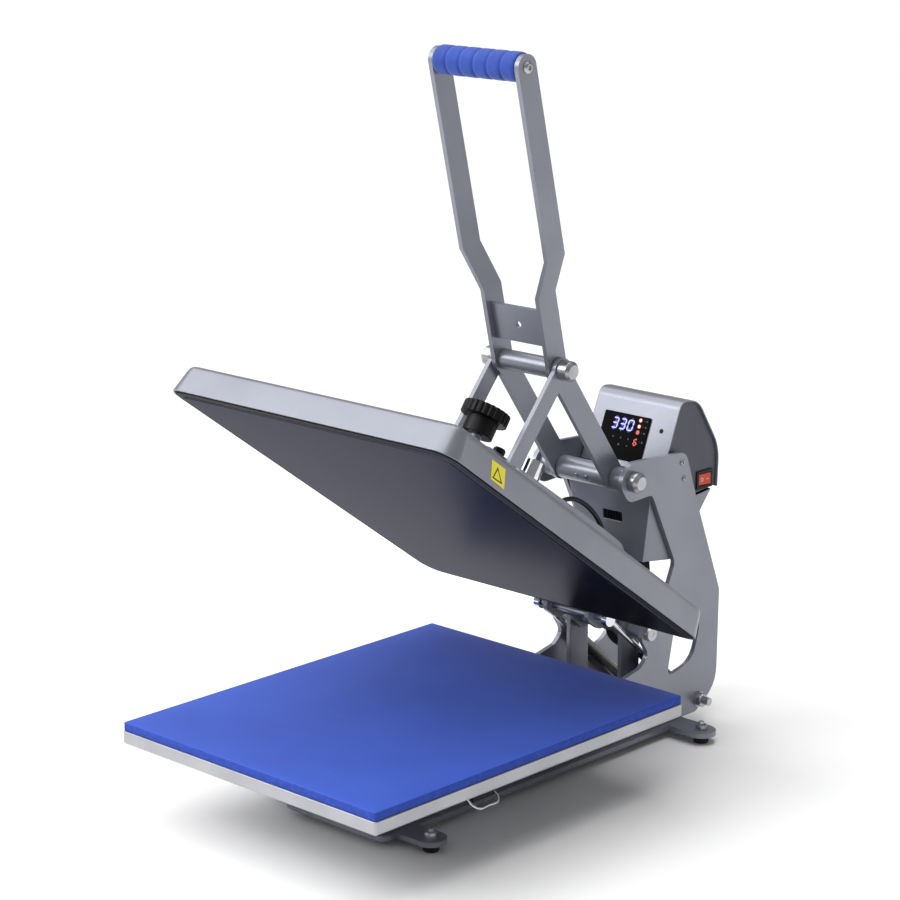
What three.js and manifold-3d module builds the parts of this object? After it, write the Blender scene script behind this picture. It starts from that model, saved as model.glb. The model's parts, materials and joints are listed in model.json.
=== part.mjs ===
// Clamshell heat press: a lower platen on a narrow pedestal, a heated upper platen on lift arms hinged
// behind it, and a toggle handle that straightens two pairs of links to press the platens together.
// Millimetres, +Z up. The origin is on the ground in the middle of the press, +X to the operator's
// right and +Y to the back. The press stands open.
import * as THREE from "three";
import { ConvexGeometry } from "three/addons/geometries/ConvexGeometry.js";
import { mergeVertices } from "three/addons/utils/BufferGeometryUtils.js";
import Module from "manifold-3d";

const wasm = await Module();
wasm.setup();

// ---- fits ----
const GAP = 0.3; // between pieces that touch
const BORE_CLEARANCE = 0.3; // radial, round a shaft that turns

// ---- base ----
const FOOT_R = 9.5;
const FOOT_H = 10;
const BASE_T = 6;
const BASE_HALF_W = 80;
const EAR_W = 36;
const FRONT_FOOT_X = 115;
const REAR_FOOT_X = 117;
const FRONT_FOOT_SETBACK = 172; // from the platen's front edge
const REAR_FOOT_BEHIND_HINGE = 50;
const FOOT_BOLT_R = 3;
const PEDESTAL_H = 69; // side plates' height under the cradle
const CRADLE_T = 5;
const CRADLE_W = 190;

// ---- lower platen ----
const FRONT_Y = -369;
const PLATEN_W = 402;
const PLATEN_D = 504;
const PLATEN_T = 16;
const PLATEN_CORNER_R = 4;
const PAD_T = 10;
const PAD_INSET = 1;

// ---- rear tower ----
const HINGE_BEHIND_PLATEN = 93.5;
const SIDE_INNER_X = 66;
const SIDE_T = 6;
const POST_X = 38; // inner face of each hinge post
const POST_T = 6;
const POST_D = 34;
const HINGE_SHAFT_R = 6;
const HINGE_SPACER_R = 9;
const TOGGLE_BEFORE_HINGE = 33.5; // fixed toggle shaft, from the hinge
const TOGGLE_ABOVE_HINGE = 195.7;
const TOGGLE_SHAFT_R = 8;
const TOGGLE_SPACER_R = 14;
const TOGGLE_CAP_R = 12.5;
const TOGGLE_CAP_L = 13;
const TOGGLE_CAP_CHAMFER = 4.5;
const TIE_BEHIND_HINGE = 101.5;
const TIE_Z = 31;
const TIE_R = 5;
const TIE_PROUD = 17; // beyond each side plate

// ---- upper platen, measured forward and up from a zero at its rear, level with its rim ----
const HINGE_BEHIND_COVER = 97;
const HINGE_ABOVE_RIM = 15;
const HEAT_DROP = 2.5; // heating face below the cover's rim
const CLOSED_GAP = 6.8; // left for goods over the pad when the press is shut
const COVER_W = 436;
const COVER_D = 524;
const COVER_REACH_BACK = 8; // its rear edge, behind the zero of the forward measure
const COVER_H = 36;
const COVER_WALL = 2;
const COVER_CORNER_R = 24;
const HEAT_W = 408;
const HEAT_D = 496;
const HEAT_CORNER_R = 14;
const HEAT_T = 14;
const GASKET_W = 9;
const GASKET_H = 8;
const OPEN_DEG = 35.5;
const ARM_X = 30; // inner face of each lift arm
const ARM_T = 6;
const ARM_TOP = 93;
const ARM_FRONT = 277;
const PIN_FORWARD = 227; // front link pivot on the lift arms
const PIN_UP = 80;
const PIN_R = 6;
const SCREW_FORWARD = 250;
const SCREW_R = 7;
const SCREW_TOP = 118;
const KNOB_R = 28.5;
const KNOB_T = 14;
const KNOB_HUB_R = 19;
const KNOB_HUB_H = 20;
const KNOB_FLUTES = 24;
const MAGNET_FORWARD = 141;
const MAGNET_R = 15;
const MAGNET_H = 44;
const BRIDGE_T = 8;
const BRIDGE_UP = 66;

// ---- handle and links ----
const REAR_LINK_L = 183; // fixed toggle shaft to knee
const FRONT_LINK_L = 135.4; // knee to lift arm pin
const BAR_X = 39; // inner face of each handle bar at the knee
const BAR_T = 6;
const BAR_W = 30;
const FRONT_LINK_GAP = 1;
const FRONT_LINK_W = 22;
const FRONT_LINK_EYE_R = 14;
const KNEE_SHAFT_R = 7;
const KNEE_TUBE_R = 12;
const KNEE_COLLAR_L = 16;
const KNEE_COLLAR_CHAMFER = 3.5;
const HANDLE_L = 363; // knee to grip
const HANDLE_LEAN_DEG = 13.2;
const HANDLE_SPREAD = 23; // each bar steps out by this much
const STEP_START = 92; // along the bar from the knee
const STEP_END = 140;
const GRIP_R = 17;
const GRIP_TUBE_R = 10;
const GRIP_BOLT_R = 4;
const GRIP_GROOVE = 1.5; // half its width, and its depth
const GRIP_GROOVES = 5;
const CROSS_UP = 52; // cross plate's middle from the knee
const CROSS_H = 44;
const CROSS_T = 5;
const CROSS_FRONT = 8; // its front face ahead of the bars' middle line
const CROSS_HOLE_R = 4.5;

// ---- control box and shroud, back and up from the hinge ----
const BOX_HALF_W = 64;
const BOX_WALL = 1.5;
const BOX_END_T = 2;
const BOX_END_INSET = 3;
const BOX_FRONT_FOOT = [30, 190];
const BOX_FRONT_TOP = [65, 276];
const BOX_BACK_FOOT = [139, 156];
const BOX_MOUTH = [50, 148];
const TRAY_HALF_W = 61;
const TRAY_BOTTOM = 126;
const DISPLAY_W = 72;
const DISPLAY_H = 57;
const DISPLAY_T = 1.6;
const DISPLAY_CHAMFER = 5;
const DISPLAY_X = -8.5; // its middle, from the middle plane
const DISPLAY_UP = 36; // its middle, along the box's front from its foot
const BOARD_SETBACK = 9; // behind the box's front wall
const BOARD_T = 1.6;
const SWITCH_Y = 115;
const SWITCH_Z = 169;
const SWITCH_W = 30;
const SWITCH_H = 23;
const SWITCH_FLANGE = 2.5;
const SWITCH_PROUD = 1.8;
const SWITCH_DEPTH = 14;
const ROCKER_TILT_DEG = 7;
const INLET_W = 31;
const INLET_H = 24;
const INLET_PIN_END = -5; // behind the panel's outer face
const SHROUD_T = 1.2;
const SHROUD_HALF_W = 65.6;
const SHROUD_FOOT_HALF_W = 48;
const SHROUD_FRONT_TOP = [7.5, 171];
const SHROUD_FRONT_FOOT = [15.5, 81];
const SHROUD_LID = [27.5, 188];
const SHROUD_BACK = 51.5;
const VENT_LEFT = -11.5;
const VENT_W = 30;
const VENT_UP = 127;
const VENT_H = 12;

// ---- gas springs, between the posts and the side plates ----
const GAS_X = 54;
const GAS_BODY_R = 8;
const GAS_ROD_R = 3.5;
const GAS_BODY_END = 118; // from the lower eye
const GAS_BORE_END = 16;
const GAS_ROD_START = 38;
const GAS_EYE_R = 9;
const GAS_EYE_T = 8;
const GAS_LUG_FORWARD = -37; // upper pivot, from the cover's rear edge
const GAS_LUG_UP = 5;
const GAS_PIN_R = 5;

// ---- catch under the lower platen's right edge ----
const CATCH_PIVOT_X = 182;
const CATCH_MIDDLE_Y = -191.5;
const CATCH_L = 34;
const CATCH_H = 13;
const BAIL_WIRE_R = 1.5;
const BAIL_DROP = 10;
const BAIL_REACH = 14;

// ---- heater cable and its braided sleeve ----
const CABLE_R = 3;
const SLEEVE_R = 8;

// ---- places worked out from the sizes ----
const BASE_TOP = FOOT_H + BASE_T;
const CRADLE_Z = BASE_TOP + PEDESTAL_H;
const PLATEN_Z = CRADLE_Z + CRADLE_T + 2 * GAP;
const PAD_Z = PLATEN_Z + PLATEN_T;
const PAD_TOP = PAD_Z + PAD_T;
const PLATEN_REAR = FRONT_Y + PLATEN_D;
const HINGE = { y: PLATEN_REAR + HINGE_BEHIND_PLATEN, z: PAD_TOP + CLOSED_GAP + HEAT_DROP + HINGE_ABOVE_RIM };
const TOGGLE = { y: HINGE.y - TOGGLE_BEFORE_HINGE, z: HINGE.z + TOGGLE_ABOVE_HINGE };
const TIE = { y: HINGE.y + TIE_BEHIND_HINGE, z: TIE_Z };
const SIDE_OUTER_X = SIDE_INNER_X + SIDE_T;
const FRONT_LINK_X = BAR_X + BAR_T + FRONT_LINK_GAP;
const OPEN = THREE.MathUtils.degToRad(OPEN_DEG);

// A point of the upper platen, given forward and up, in the hinge's frame.
const inPlaten = (forward, up) => ({ y: -HINGE_BEHIND_COVER - forward, z: up - HINGE_ABOVE_RIM });

// The same point in the press's frame, with the platen standing open.
function openPoint(forward, up) {
  const local = inPlaten(forward, up);
  return {
    y: HINGE.y + local.y * Math.cos(OPEN) + local.z * Math.sin(OPEN),
    z: HINGE.z - local.y * Math.sin(OPEN) + local.z * Math.cos(OPEN),
  };
}

// The knee stands above the line from the toggle shaft to the front link's pin.
function kneePoint(from, to) {
  const reach = Math.hypot(to.y - from.y, to.z - from.z);
  const along = (REAR_LINK_L ** 2 - FRONT_LINK_L ** 2 + reach ** 2) / (2 * reach);
  const rise = Math.sqrt(REAR_LINK_L ** 2 - along ** 2);
  const [uy, uz] = [(to.y - from.y) / reach, (to.z - from.z) / reach];
  return { y: from.y + along * uy + rise * uz, z: from.z + along * uz - rise * uy };
}

const PIN = openPoint(PIN_FORWARD, PIN_UP);
const KNEE = kneePoint(TOGGLE, PIN);
const LEAN = THREE.MathUtils.degToRad(HANDLE_LEAN_DEG);
const GAS_TOP = openPoint(GAS_LUG_FORWARD, GAS_LUG_UP);

// ---- materials ----
const finish = (color, roughness, metalness) =>
  new THREE.MeshStandardMaterial({ color, roughness, metalness });
const silverPaint = finish(0x9a9da4, 0.45, 0.5);
const greyPaint = finish(0x6d7078, 0.5, 0.4);
const castAluminium = finish(0xb9bbbd, 0.4, 0.9);
const zincSteel = finish(0xbfc0c2, 0.3, 1);
const chrome = finish(0xd6d8da, 0.12, 1);
const blackPlastic = finish(0x16171a, 0.45, 0);
const blackRubber = finish(0x1b1b1c, 0.8, 0);
const blueSilicone = finish(0x2f52b5, 0.75, 0);
const blueFoam = finish(0x2b5fd0, 0.85, 0);
const redPlastic = finish(0xd5401c, 0.35, 0);
const circuitGreen = finish(0x1f5a35, 0.6, 0);

// ---- solids ----
function toSolid(geometry) {
  const bare = geometry.clone();
  bare.deleteAttribute("normal");
  bare.deleteAttribute("uv");
  const merged = mergeVertices(bare, 1e-4);
  return new wasm.Manifold(
    new wasm.Mesh({
      numProp: 3,
      vertProperties: merged.attributes.position.array,
      triVerts: new Uint32Array(merged.index.array),
    }),
  );
}

function toGeometry(solid) {
  const mesh = solid.getMesh();
  const geometry = new THREE.BufferGeometry();
  geometry.setAttribute("position", new THREE.BufferAttribute(mesh.vertProperties, 3));
  geometry.setIndex(new THREE.BufferAttribute(mesh.triVerts, 1));
  geometry.computeVertexNormals();
  return geometry;
}

const cut = (geometry, ...tools) =>
  toGeometry(tools.reduce((left, tool) => left.subtract(toSolid(tool)), toSolid(geometry)));
const join = (geometry, ...others) =>
  toGeometry(others.reduce((whole, other) => whole.add(toSolid(other)), toSolid(geometry)));

function box(x0, x1, y0, y1, z0, z1) {
  const geometry = new THREE.BoxGeometry(x1 - x0, y1 - y0, z1 - z0);
  return geometry.translate((x0 + x1) / 2, (y0 + y1) / 2, (z0 + z1) / 2);
}

function rodX(radius, x0, x1, { y, z }, sides = 24) {
  const geometry = new THREE.CylinderGeometry(radius, radius, x1 - x0, sides);
  return geometry.rotateZ(-Math.PI / 2).translate((x0 + x1) / 2, y, z);
}

function rodZ(radius, z0, z1, x, y, sides = 24) {
  const geometry = new THREE.CylinderGeometry(radius, radius, z1 - z0, sides);
  return geometry.rotateX(Math.PI / 2).translate(x, y, (z0 + z1) / 2);
}

// A profile of [radius, height] turned about +Z.
function turned(profile, sides = 32) {
  const points = profile.map(([radius, height]) => new THREE.Vector2(radius, height));
  return new THREE.LatheGeometry(points, sides).rotateX(Math.PI / 2);
}

// A closed outline of corners [a, b, radius], each corner rounded by an arc of that radius.
function roundedOutline(corners, Kind = THREE.Shape) {
  const outline = new Kind();
  const count = corners.length;
  corners.forEach(([a, b, radius = 0], i) => {
    const corner = new THREE.Vector2(a, b);
    const before = new THREE.Vector2(...corners[(i + count - 1) % count].slice(0, 2)).sub(corner);
    const after = new THREE.Vector2(...corners[(i + 1) % count].slice(0, 2)).sub(corner);
    const half = before.angleTo(after) / 2;
    const room = 0.49 * Math.min(before.length(), after.length());
    const back = Math.min(radius / Math.tan(half), room);
    const start = before.setLength(back).add(corner);
    const end = after.setLength(back).add(corner);
    if (i === 0) outline.moveTo(start.x, start.y);
    else outline.lineTo(start.x, start.y);
    if (radius > 0) outline.quadraticCurveTo(corner.x, corner.y, end.x, end.y);
  });
  outline.closePath();
  return outline;
}

// A plate standing across X: its outline is given in Y and Z.
function plateX(outline, x0, thickness, curveSegments = 6) {
  const settings = { depth: thickness, bevelEnabled: false, curveSegments };
  const geometry = new THREE.ExtrudeGeometry(outline, settings);
  const basis = new THREE.Matrix4().makeBasis(
    new THREE.Vector3(0, 1, 0),
    new THREE.Vector3(0, 0, 1),
    new THREE.Vector3(1, 0, 0),
  );
  return geometry.applyMatrix4(basis).translate(x0, 0, 0);
}

// A flat slab: its outline is given in X and Y.
function slab(outline, z0, thickness, curveSegments = 6) {
  const settings = { depth: thickness, bevelEnabled: false, curveSegments };
  return new THREE.ExtrudeGeometry(outline, settings).translate(0, 0, z0);
}

const rectangle = (x0, x1, y0, y1, r) =>
  roundedOutline([[x0, y0, r], [x1, y0, r], [x1, y1, r], [x0, y1, r]]);

// A flat link with round ends about two points of the YZ plane.
function eyeLink(a, b, width, eyeA, eyeB, x0, thickness) {
  const angle = Math.atan2(b.z - a.z, b.y - a.y);
  const length = Math.hypot(b.y - a.y, b.z - a.z);
  const bar = new THREE.BoxGeometry(thickness, length, width)
    .translate(x0 + thickness / 2, length / 2, 0)
    .rotateX(angle)
    .translate(0, a.y, a.z);
  return join(bar, rodX(eyeA, x0, x0 + thickness, a, 28), rodX(eyeB, x0, x0 + thickness, b, 28));
}

function tube(points, radius, sides, steps) {
  const knots = points.map((point) => new THREE.Vector3(...point));
  const path = new THREE.CatmullRomCurve3(knots, false, "centripetal");
  const section = new THREE.Shape();
  section.absarc(0, 0, radius, 0, 2 * Math.PI);
  const settings = { steps, extrudePath: path, curveSegments: sides, bevelEnabled: false };
  return new THREE.ExtrudeGeometry(section, settings);
}

// Rounded rectangles stacked in Z, each [z, inset], joined into one closed skin with flat ends.
function stackedSlab(width, depth, cornerR, levels, cornerSteps = 7) {
  const rings = levels.map(([z, inset]) => {
    const r = Math.max(cornerR - inset, 1);
    const [cx, cy] = [width / 2 - inset - r, depth / 2 - inset - r];
    const ring = [];
    [[1, 1], [-1, 1], [-1, -1], [1, -1]].forEach(([sx, sy], quarter) => {
      for (let i = 0; i <= cornerSteps; i += 1) {
        const angle = ((quarter + i / cornerSteps) * Math.PI) / 2;
        ring.push([sx * cx + r * Math.cos(angle), sy * cy + r * Math.sin(angle), z]);
      }
    });
    return ring;
  });
  const count = rings[0].length;
  const vertices = [...rings.flat(), [0, 0, levels[0][0]], [0, 0, levels.at(-1)[0]]];
  const [bottom, top] = [count * rings.length, count * rings.length + 1];
  const lastRing = count * (rings.length - 1);
  const faces = [];
  for (let i = 0; i < count; i += 1) {
    const next = (i + 1) % count;
    faces.push([bottom, next, i], [top, lastRing + i, lastRing + next]);
    for (let level = 0; level < rings.length - 1; level += 1) {
      const [a, b] = [level * count + i, level * count + next];
      faces.push([a, b, b + count], [a, b + count, a + count]);
    }
  }
  const geometry = new THREE.BufferGeometry();
  geometry.setAttribute("position", new THREE.Float32BufferAttribute(vertices.flat(), 3));
  geometry.setIndex(faces.flat());
  return geometry;
}

// ---- the scene graph ----
const press = new THREE.Group();
const upperPlaten = new THREE.Group();
upperPlaten.position.set(0, HINGE.y, HINGE.z);
upperPlaten.rotation.x = -OPEN;
press.add(upperPlaten);

function add(parent, name, geometry, material) {
  const mesh = new THREE.Mesh(geometry, material);
  mesh.name = name;
  parent.add(mesh);
  return mesh;
}

const SIDES = [["left", -1], ["right", 1]];

// Start of a plate on one side of the middle plane whose near face is at the given distance.
const nearFace = (sign, inner, thickness) => (sign > 0 ? inner : -inner - thickness);

// ---- base: a narrow plate with four ears that reach out to the feet ----
const frontFootY = FRONT_Y + FRONT_FOOT_SETBACK;
const rearFootY = HINGE.y + REAR_FOOT_BEHIND_HINGE;
const FEET = [
  ["front", frontFootY, FRONT_FOOT_X],
  ["rear", rearFootY, REAR_FOOT_X],
].flatMap(([end, y, x]) => SIDES.map(([side, sign]) => ({ name: `foot_${end}_${side}`, x: sign * x, y })));

function earSlab({ x, y }) {
  const half = EAR_W / 2;
  const sign = Math.sign(x);
  const [near, far] = [sign * (BASE_HALF_W - 20), x];
  const tongue = box(Math.min(near, far), Math.max(near, far), y - half, y + half, FOOT_H, BASE_TOP);
  return join(tongue, rodZ(half, FOOT_H, BASE_TOP, x, y, 32));
}

const BASE_FRONT = frontFootY - 40;
const BASE_REAR = HINGE.y + REAR_FOOT_BEHIND_HINGE + EAR_W / 2 + 2;

function makeBase() {
  const outline = rectangle(-BASE_HALF_W, BASE_HALF_W, BASE_FRONT, BASE_REAR, 14);
  const relief = rectangle(-48, 48, frontFootY + 20, HINGE.y - 60, 16);
  const plate = cut(slab(outline, FOOT_H, BASE_T), slab(relief, FOOT_H - 1, BASE_T + 2));
  const bored = FEET.map(({ x, y }) => rodZ(FOOT_BOLT_R, FOOT_H - 1, BASE_TOP + 1, x, y, 16));
  add(press, "base_plate", cut(join(plate, ...FEET.map(earSlab)), ...bored), silverPaint);
}

function makeFeet() {
  const profile = [[0, 0], [FOOT_R - 1, 0], [FOOT_R, 1.5], [FOOT_R - 1.5, FOOT_H - GAP], [0, FOOT_H - GAP]];
  FEET.forEach(({ name, x, y }) => {
    add(press, name, turned(profile, 28), blackRubber).position.set(x, y, 0);
  });
}

// ---- side plates: one flat plate each, from under the platen up to the toggle shaft ----
function sideOutline() {
  const y = (behind) => HINGE.y + behind;
  const z = (above) => HINGE.z + above;
  const foot = BASE_TOP + GAP;
  const shelf = CRADLE_Z;
  return roundedOutline([
    [BASE_FRONT + 6, foot, 2],
    [TIE.y - 6, foot, 12],
    [TIE.y + 34, TIE.z + 12, 46],
    [y(137.5), z(26), 26],
    [y(91), z(143), 20],
    [y(66), z(214), 18],
    [y(38), z(216), 16],
    [TOGGLE.y - 4, TOGGLE.z + 24, 18],
    [TOGGLE.y - 26, TOGGLE.z + 2, 18],
    [TOGGLE.y - 8, TOGGLE.z - 25, 18],
    [TOGGLE.y + 36, TOGGLE.z - 23, 10],
    [y(48.5), z(79), 14],
    [y(35), z(48), 14],
    [y(-6), z(18), 12],
    [y(-13), z(-6), 10],
    [y(2), z(-28), 16],
    [y(-14), shelf + 14, 16],
    [PLATEN_REAR + 12, shelf, 6],
    [BASE_FRONT + 14, shelf, 10],
    [BASE_FRONT + 6, shelf - 20, 8],
  ]);
}

function sideWindow() {
  const y = (behind) => HINGE.y + behind;
  const z = (above) => HINGE.z + above;
  return roundedOutline(
    [
      [y(37), z(-66), 9],
      [y(88), z(-56), 34],
      [y(101), z(-8), 30],
      [y(66), z(38), 20],
      [y(52), z(4), 14],
    ],
    THREE.Path,
  );
}

function makeSidePlates() {
  const outline = sideOutline();
  outline.holes.push(sideWindow());
  SIDES.forEach(([side, sign]) => {
    const x0 = nearFace(sign, SIDE_INNER_X, SIDE_T);
    const bores = [
      rodX(HINGE_SHAFT_R + GAP, x0 - 1, x0 + SIDE_T + 1, HINGE),
      rodX(TOGGLE_SHAFT_R + GAP, x0 - 1, x0 + SIDE_T + 1, TOGGLE),
      rodX(TIE_R + GAP, x0 - 1, x0 + SIDE_T + 1, TIE),
    ];
    add(press, `side_plate_${side}`, cut(plateX(outline, x0, SIDE_T, 5), ...bores), silverPaint);
  });
}

function makePosts() {
  const [front, back] = [HINGE.y - POST_D / 2, HINGE.y + POST_D / 2];
  const outline = roundedOutline([
    [front, BASE_TOP + GAP, 0],
    [back, BASE_TOP + GAP, 0],
    [back, HINGE.z + 17, 16],
    [front, HINGE.z + 17, 16],
  ]);
  SIDES.forEach(([side, sign]) => {
    const x0 = nearFace(sign, POST_X, POST_T);
    const bore = rodX(HINGE_SHAFT_R + GAP, x0 - 1, x0 + POST_T + 1, HINGE);
    add(press, `hinge_post_${side}`, cut(plateX(outline, x0, POST_T), bore), silverPaint);
  });
}

// ---- shafts of the tower ----
function makeHingeShaft() {
  const end = SIDE_OUTER_X + 6;
  add(press, "hinge_shaft", rodX(HINGE_SHAFT_R, -end, end, HINGE, 28), zincSteel);
  const from = POST_X + POST_T + GAP;
  const length = SIDE_INNER_X - GAP - from;
  SIDES.forEach(([side, sign]) => {
    const x0 = nearFace(sign, from, length);
    const ring = cut(
      rodX(HINGE_SPACER_R, x0, x0 + length, HINGE, 28),
      rodX(HINGE_SHAFT_R + GAP, x0 - 1, x0 + length + 1, HINGE, 28),
    );
    add(press, `hinge_spacer_${side}`, ring, zincSteel);
  });
  const half = ARM_X - GAP;
  const sleeve = cut(
    rodX(HINGE_SPACER_R, -half, half, HINGE, 28),
    rodX(HINGE_SHAFT_R + GAP, -half - 1, half + 1, HINGE, 28),
  );
  add(press, "hinge_sleeve", sleeve, zincSteel);
}

function spacerOn(shaftR, outerR, x0, x1, axis) {
  return cut(rodX(outerR, x0, x1, axis, 32), rodX(shaftR + GAP, x0 - 1, x1 + 1, axis, 28));
}

// A shaft with the same turned head on each end, its profile given as [radius, from the middle].
function headedShaft(radius, head, { y, z }) {
  const half = [[radius, head[0][1]], ...head];
  const mirrored = half.map(([r, x]) => [r, -x]).reverse();
  return turned([...mirrored, ...half], 32).rotateY(Math.PI / 2).translate(0, y, z);
}

function makeToggleShaft() {
  const collar = SIDE_OUTER_X + GAP;
  const end = collar + TOGGLE_CAP_L;
  const head = [
    [TOGGLE_CAP_R, collar],
    [TOGGLE_CAP_R, end - TOGGLE_CAP_CHAMFER],
    [TOGGLE_CAP_R - TOGGLE_CAP_CHAMFER, end],
    [0, end],
  ];
  add(press, "toggle_shaft", headedShaft(TOGGLE_SHAFT_R, head, TOGGLE), zincSteel);
  const middle = BAR_X - GAP;
  const tubeGeometry = spacerOn(TOGGLE_SHAFT_R, TOGGLE_SPACER_R, -middle, middle, TOGGLE);
  add(press, "toggle_spacer_middle", tubeGeometry, silverPaint);
  const from = BAR_X + BAR_T + GAP;
  const length = SIDE_INNER_X - GAP - from;
  SIDES.forEach(([side, sign]) => {
    const x0 = nearFace(sign, from, length);
    const ring = spacerOn(TOGGLE_SHAFT_R, TOGGLE_SPACER_R, x0, x0 + length, TOGGLE);
    add(press, `toggle_spacer_${side}`, ring, silverPaint);
  });
}

function makeTieRod() {
  const end = SIDE_OUTER_X + TIE_PROUD;
  add(press, "tie_rod", rodX(TIE_R, -end, end, TIE, 20), zincSteel);
}

// ---- lower platen, its silicone pad and the cradle that carries it ----
function makeLowerPlaten() {
  const [z0, z1] = [CRADLE_Z + GAP, CRADLE_Z + GAP + CRADLE_T];
  const cradle = rectangle(-CRADLE_W / 2, CRADLE_W / 2, BASE_FRONT + 20, PLATEN_REAR + 8, 12);
  add(press, "platen_cradle", slab(cradle, z0, z1 - z0), greyPaint);
  const levels = [[0, 2], [2, 0], [PLATEN_T - GAP, 0]];
  const platen = stackedSlab(PLATEN_W, PLATEN_D, PLATEN_CORNER_R, levels, 5);
  add(press, "lower_platen", platen, castAluminium).position.set(0, FRONT_Y + PLATEN_D / 2, PLATEN_Z);
  const inset = 2 * PAD_INSET;
  const padLevels = [[0, 0], [PAD_T, 0]];
  const pad = stackedSlab(PLATEN_W - inset, PLATEN_D - inset, PLATEN_CORNER_R - 1, padLevels, 5);
  add(press, "silicone_pad", pad, blueSilicone).position.set(0, FRONT_Y + PLATEN_D / 2, PAD_Z);
}

makeBase();
makeFeet();
makeSidePlates();
makePosts();
makeHingeShaft();
makeToggleShaft();
makeTieRod();
makeLowerPlaten();

// ---- upper platen: cover, heating platen and the gasket round it ----
function makeHeatedPlaten() {
  const middle = inPlaten(COVER_D / 2 - COVER_REACH_BACK, 0);
  const outer = [[0, 0], [27, 5.5], [31.5, 7], [34.5, 9.8], [COVER_H, 14]];
  const hollow = [[-1, COVER_WALL], [27, 5.5 + COVER_WALL], [COVER_H - COVER_WALL, 11 + COVER_WALL]];
  const shell = cut(
    stackedSlab(COVER_W, COVER_D, COVER_CORNER_R, outer, 8),
    stackedSlab(COVER_W, COVER_D, COVER_CORNER_R, hollow, 8),
  );
  add(upperPlaten, "platen_cover", shell, silverPaint).position.set(0, middle.y, middle.z);

  const heatLevels = [[0, 1.5], [1.5, 0], [HEAT_T, 0]];
  const heater = stackedSlab(HEAT_W, HEAT_D, HEAT_CORNER_R, heatLevels, 6);
  add(upperPlaten, "heating_platen", heater, castAluminium).position.set(0, middle.y, middle.z - HEAT_DROP);

  const [ringW, ringD] = [HEAT_W + 2 * GAP, HEAT_D + 2 * GAP];
  const band = [[0, 0], [GASKET_H, 0]];
  const through = [[-1, 0], [GASKET_H + 1, 0]];
  const outerR = HEAT_CORNER_R + GASKET_W;
  const ring = cut(
    stackedSlab(ringW + 2 * GASKET_W, ringD + 2 * GASKET_W, outerR, band, 6),
    stackedSlab(ringW, ringD, HEAT_CORNER_R, through, 6),
  );
  const ringZ = middle.z - HEAT_DROP + 1.5;
  add(upperPlaten, "edge_gasket", ring, blackRubber).position.set(0, middle.y, ringZ);
}

// ---- lift arms: plates on edge from the hinge over the cover ----
function armOutline() {
  const p = (forward, up, radius) => {
    const { y, z } = inPlaten(forward, up);
    return [y, z, radius];
  };
  const skin = COVER_H + GAP;
  return roundedOutline([
    p(ARM_FRONT, skin, 2),
    p(ARM_FRONT, ARM_TOP, 22),
    p(20, ARM_TOP + 5, 10),
    p(-30, ARM_TOP + 4, 26),
    p(-62, 68, 24),
    p(-HINGE_BEHIND_COVER - 16, 24, 14),
    p(-HINGE_BEHIND_COVER - 10, -1, 12),
    p(-66, 6, 20),
    p(GAS_LUG_FORWARD - 14, GAS_LUG_UP - 12, 10),
    p(GAS_LUG_FORWARD + 14, GAS_LUG_UP - 12, 10),
    p(-12, skin, 12),
  ]);
}

function makeLiftArms() {
  const outline = armOutline();
  const hub = { y: 0, z: 0 };
  const pin = inPlaten(PIN_FORWARD, PIN_UP);
  const lug = inPlaten(GAS_LUG_FORWARD, GAS_LUG_UP);
  SIDES.forEach(([side, sign]) => {
    const x0 = nearFace(sign, ARM_X, ARM_T);
    const bores = [
      rodX(HINGE_SHAFT_R + BORE_CLEARANCE, x0 - 1, x0 + ARM_T + 1, hub, 28),
      rodX(PIN_R + GAP, x0 - 1, x0 + ARM_T + 1, pin, 24),
      rodX(GAS_PIN_R + GAP, x0 - 1, x0 + ARM_T + 1, lug, 20),
    ];
    add(upperPlaten, `lift_arm_${side}`, cut(plateX(outline, x0, ARM_T), ...bores), silverPaint);
  });
  const pinEnd = FRONT_LINK_X - 2 * GAP;
  add(upperPlaten, "link_pin", rodX(PIN_R, -pinEnd, pinEnd, pin, 24), zincSteel);
  const gasPinEnd = GAS_X - GAS_EYE_T / 2 - 2 * GAP;
  add(upperPlaten, "gas_pin", rodX(GAS_PIN_R, -gasPinEnd, gasPinEnd, lug, 20), zincSteel);
}

function makeBridges() {
  const half = ARM_X - GAP;
  const screw = inPlaten(SCREW_FORWARD, 0);
  const block = inPlaten(0, BRIDGE_UP);
  const bore = rodZ(SCREW_R + GAP, block.z - 1, block.z + BRIDGE_T + 1, 0, screw.y, 28);
  const front = box(-half, half, screw.y - 16, screw.y + 14, block.z, block.z + BRIDGE_T);
  add(upperPlaten, "screw_bridge", cut(front, bore), silverPaint);
  const magnet = inPlaten(MAGNET_FORWARD, 80);
  const rear = box(-half, half, magnet.y - 22, magnet.y + 22, magnet.z - 6 - GAP, magnet.z - GAP);
  add(upperPlaten, "magnet_bridge", rear, silverPaint);
  const profile = [[0, 0], [MAGNET_R, 0], [MAGNET_R, MAGNET_H - 1], [MAGNET_R - 1, MAGNET_H], [0, MAGNET_H]];
  add(upperPlaten, "electromagnet", turned(profile, 36), chrome).position.set(0, magnet.y, magnet.z);
}

// ---- pressure screw and its fluted knob ----
function knobOutline() {
  const outline = new THREE.Shape();
  const steps = KNOB_FLUTES * 4;
  for (let i = 0; i < steps; i += 1) {
    const angle = (i / steps) * 2 * Math.PI;
    const radius = KNOB_R - (i % 4 === 0 ? 1.8 : 0);
    outline[i ? "lineTo" : "moveTo"](radius * Math.cos(angle), radius * Math.sin(angle));
  }
  outline.closePath();
  return outline;
}

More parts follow.
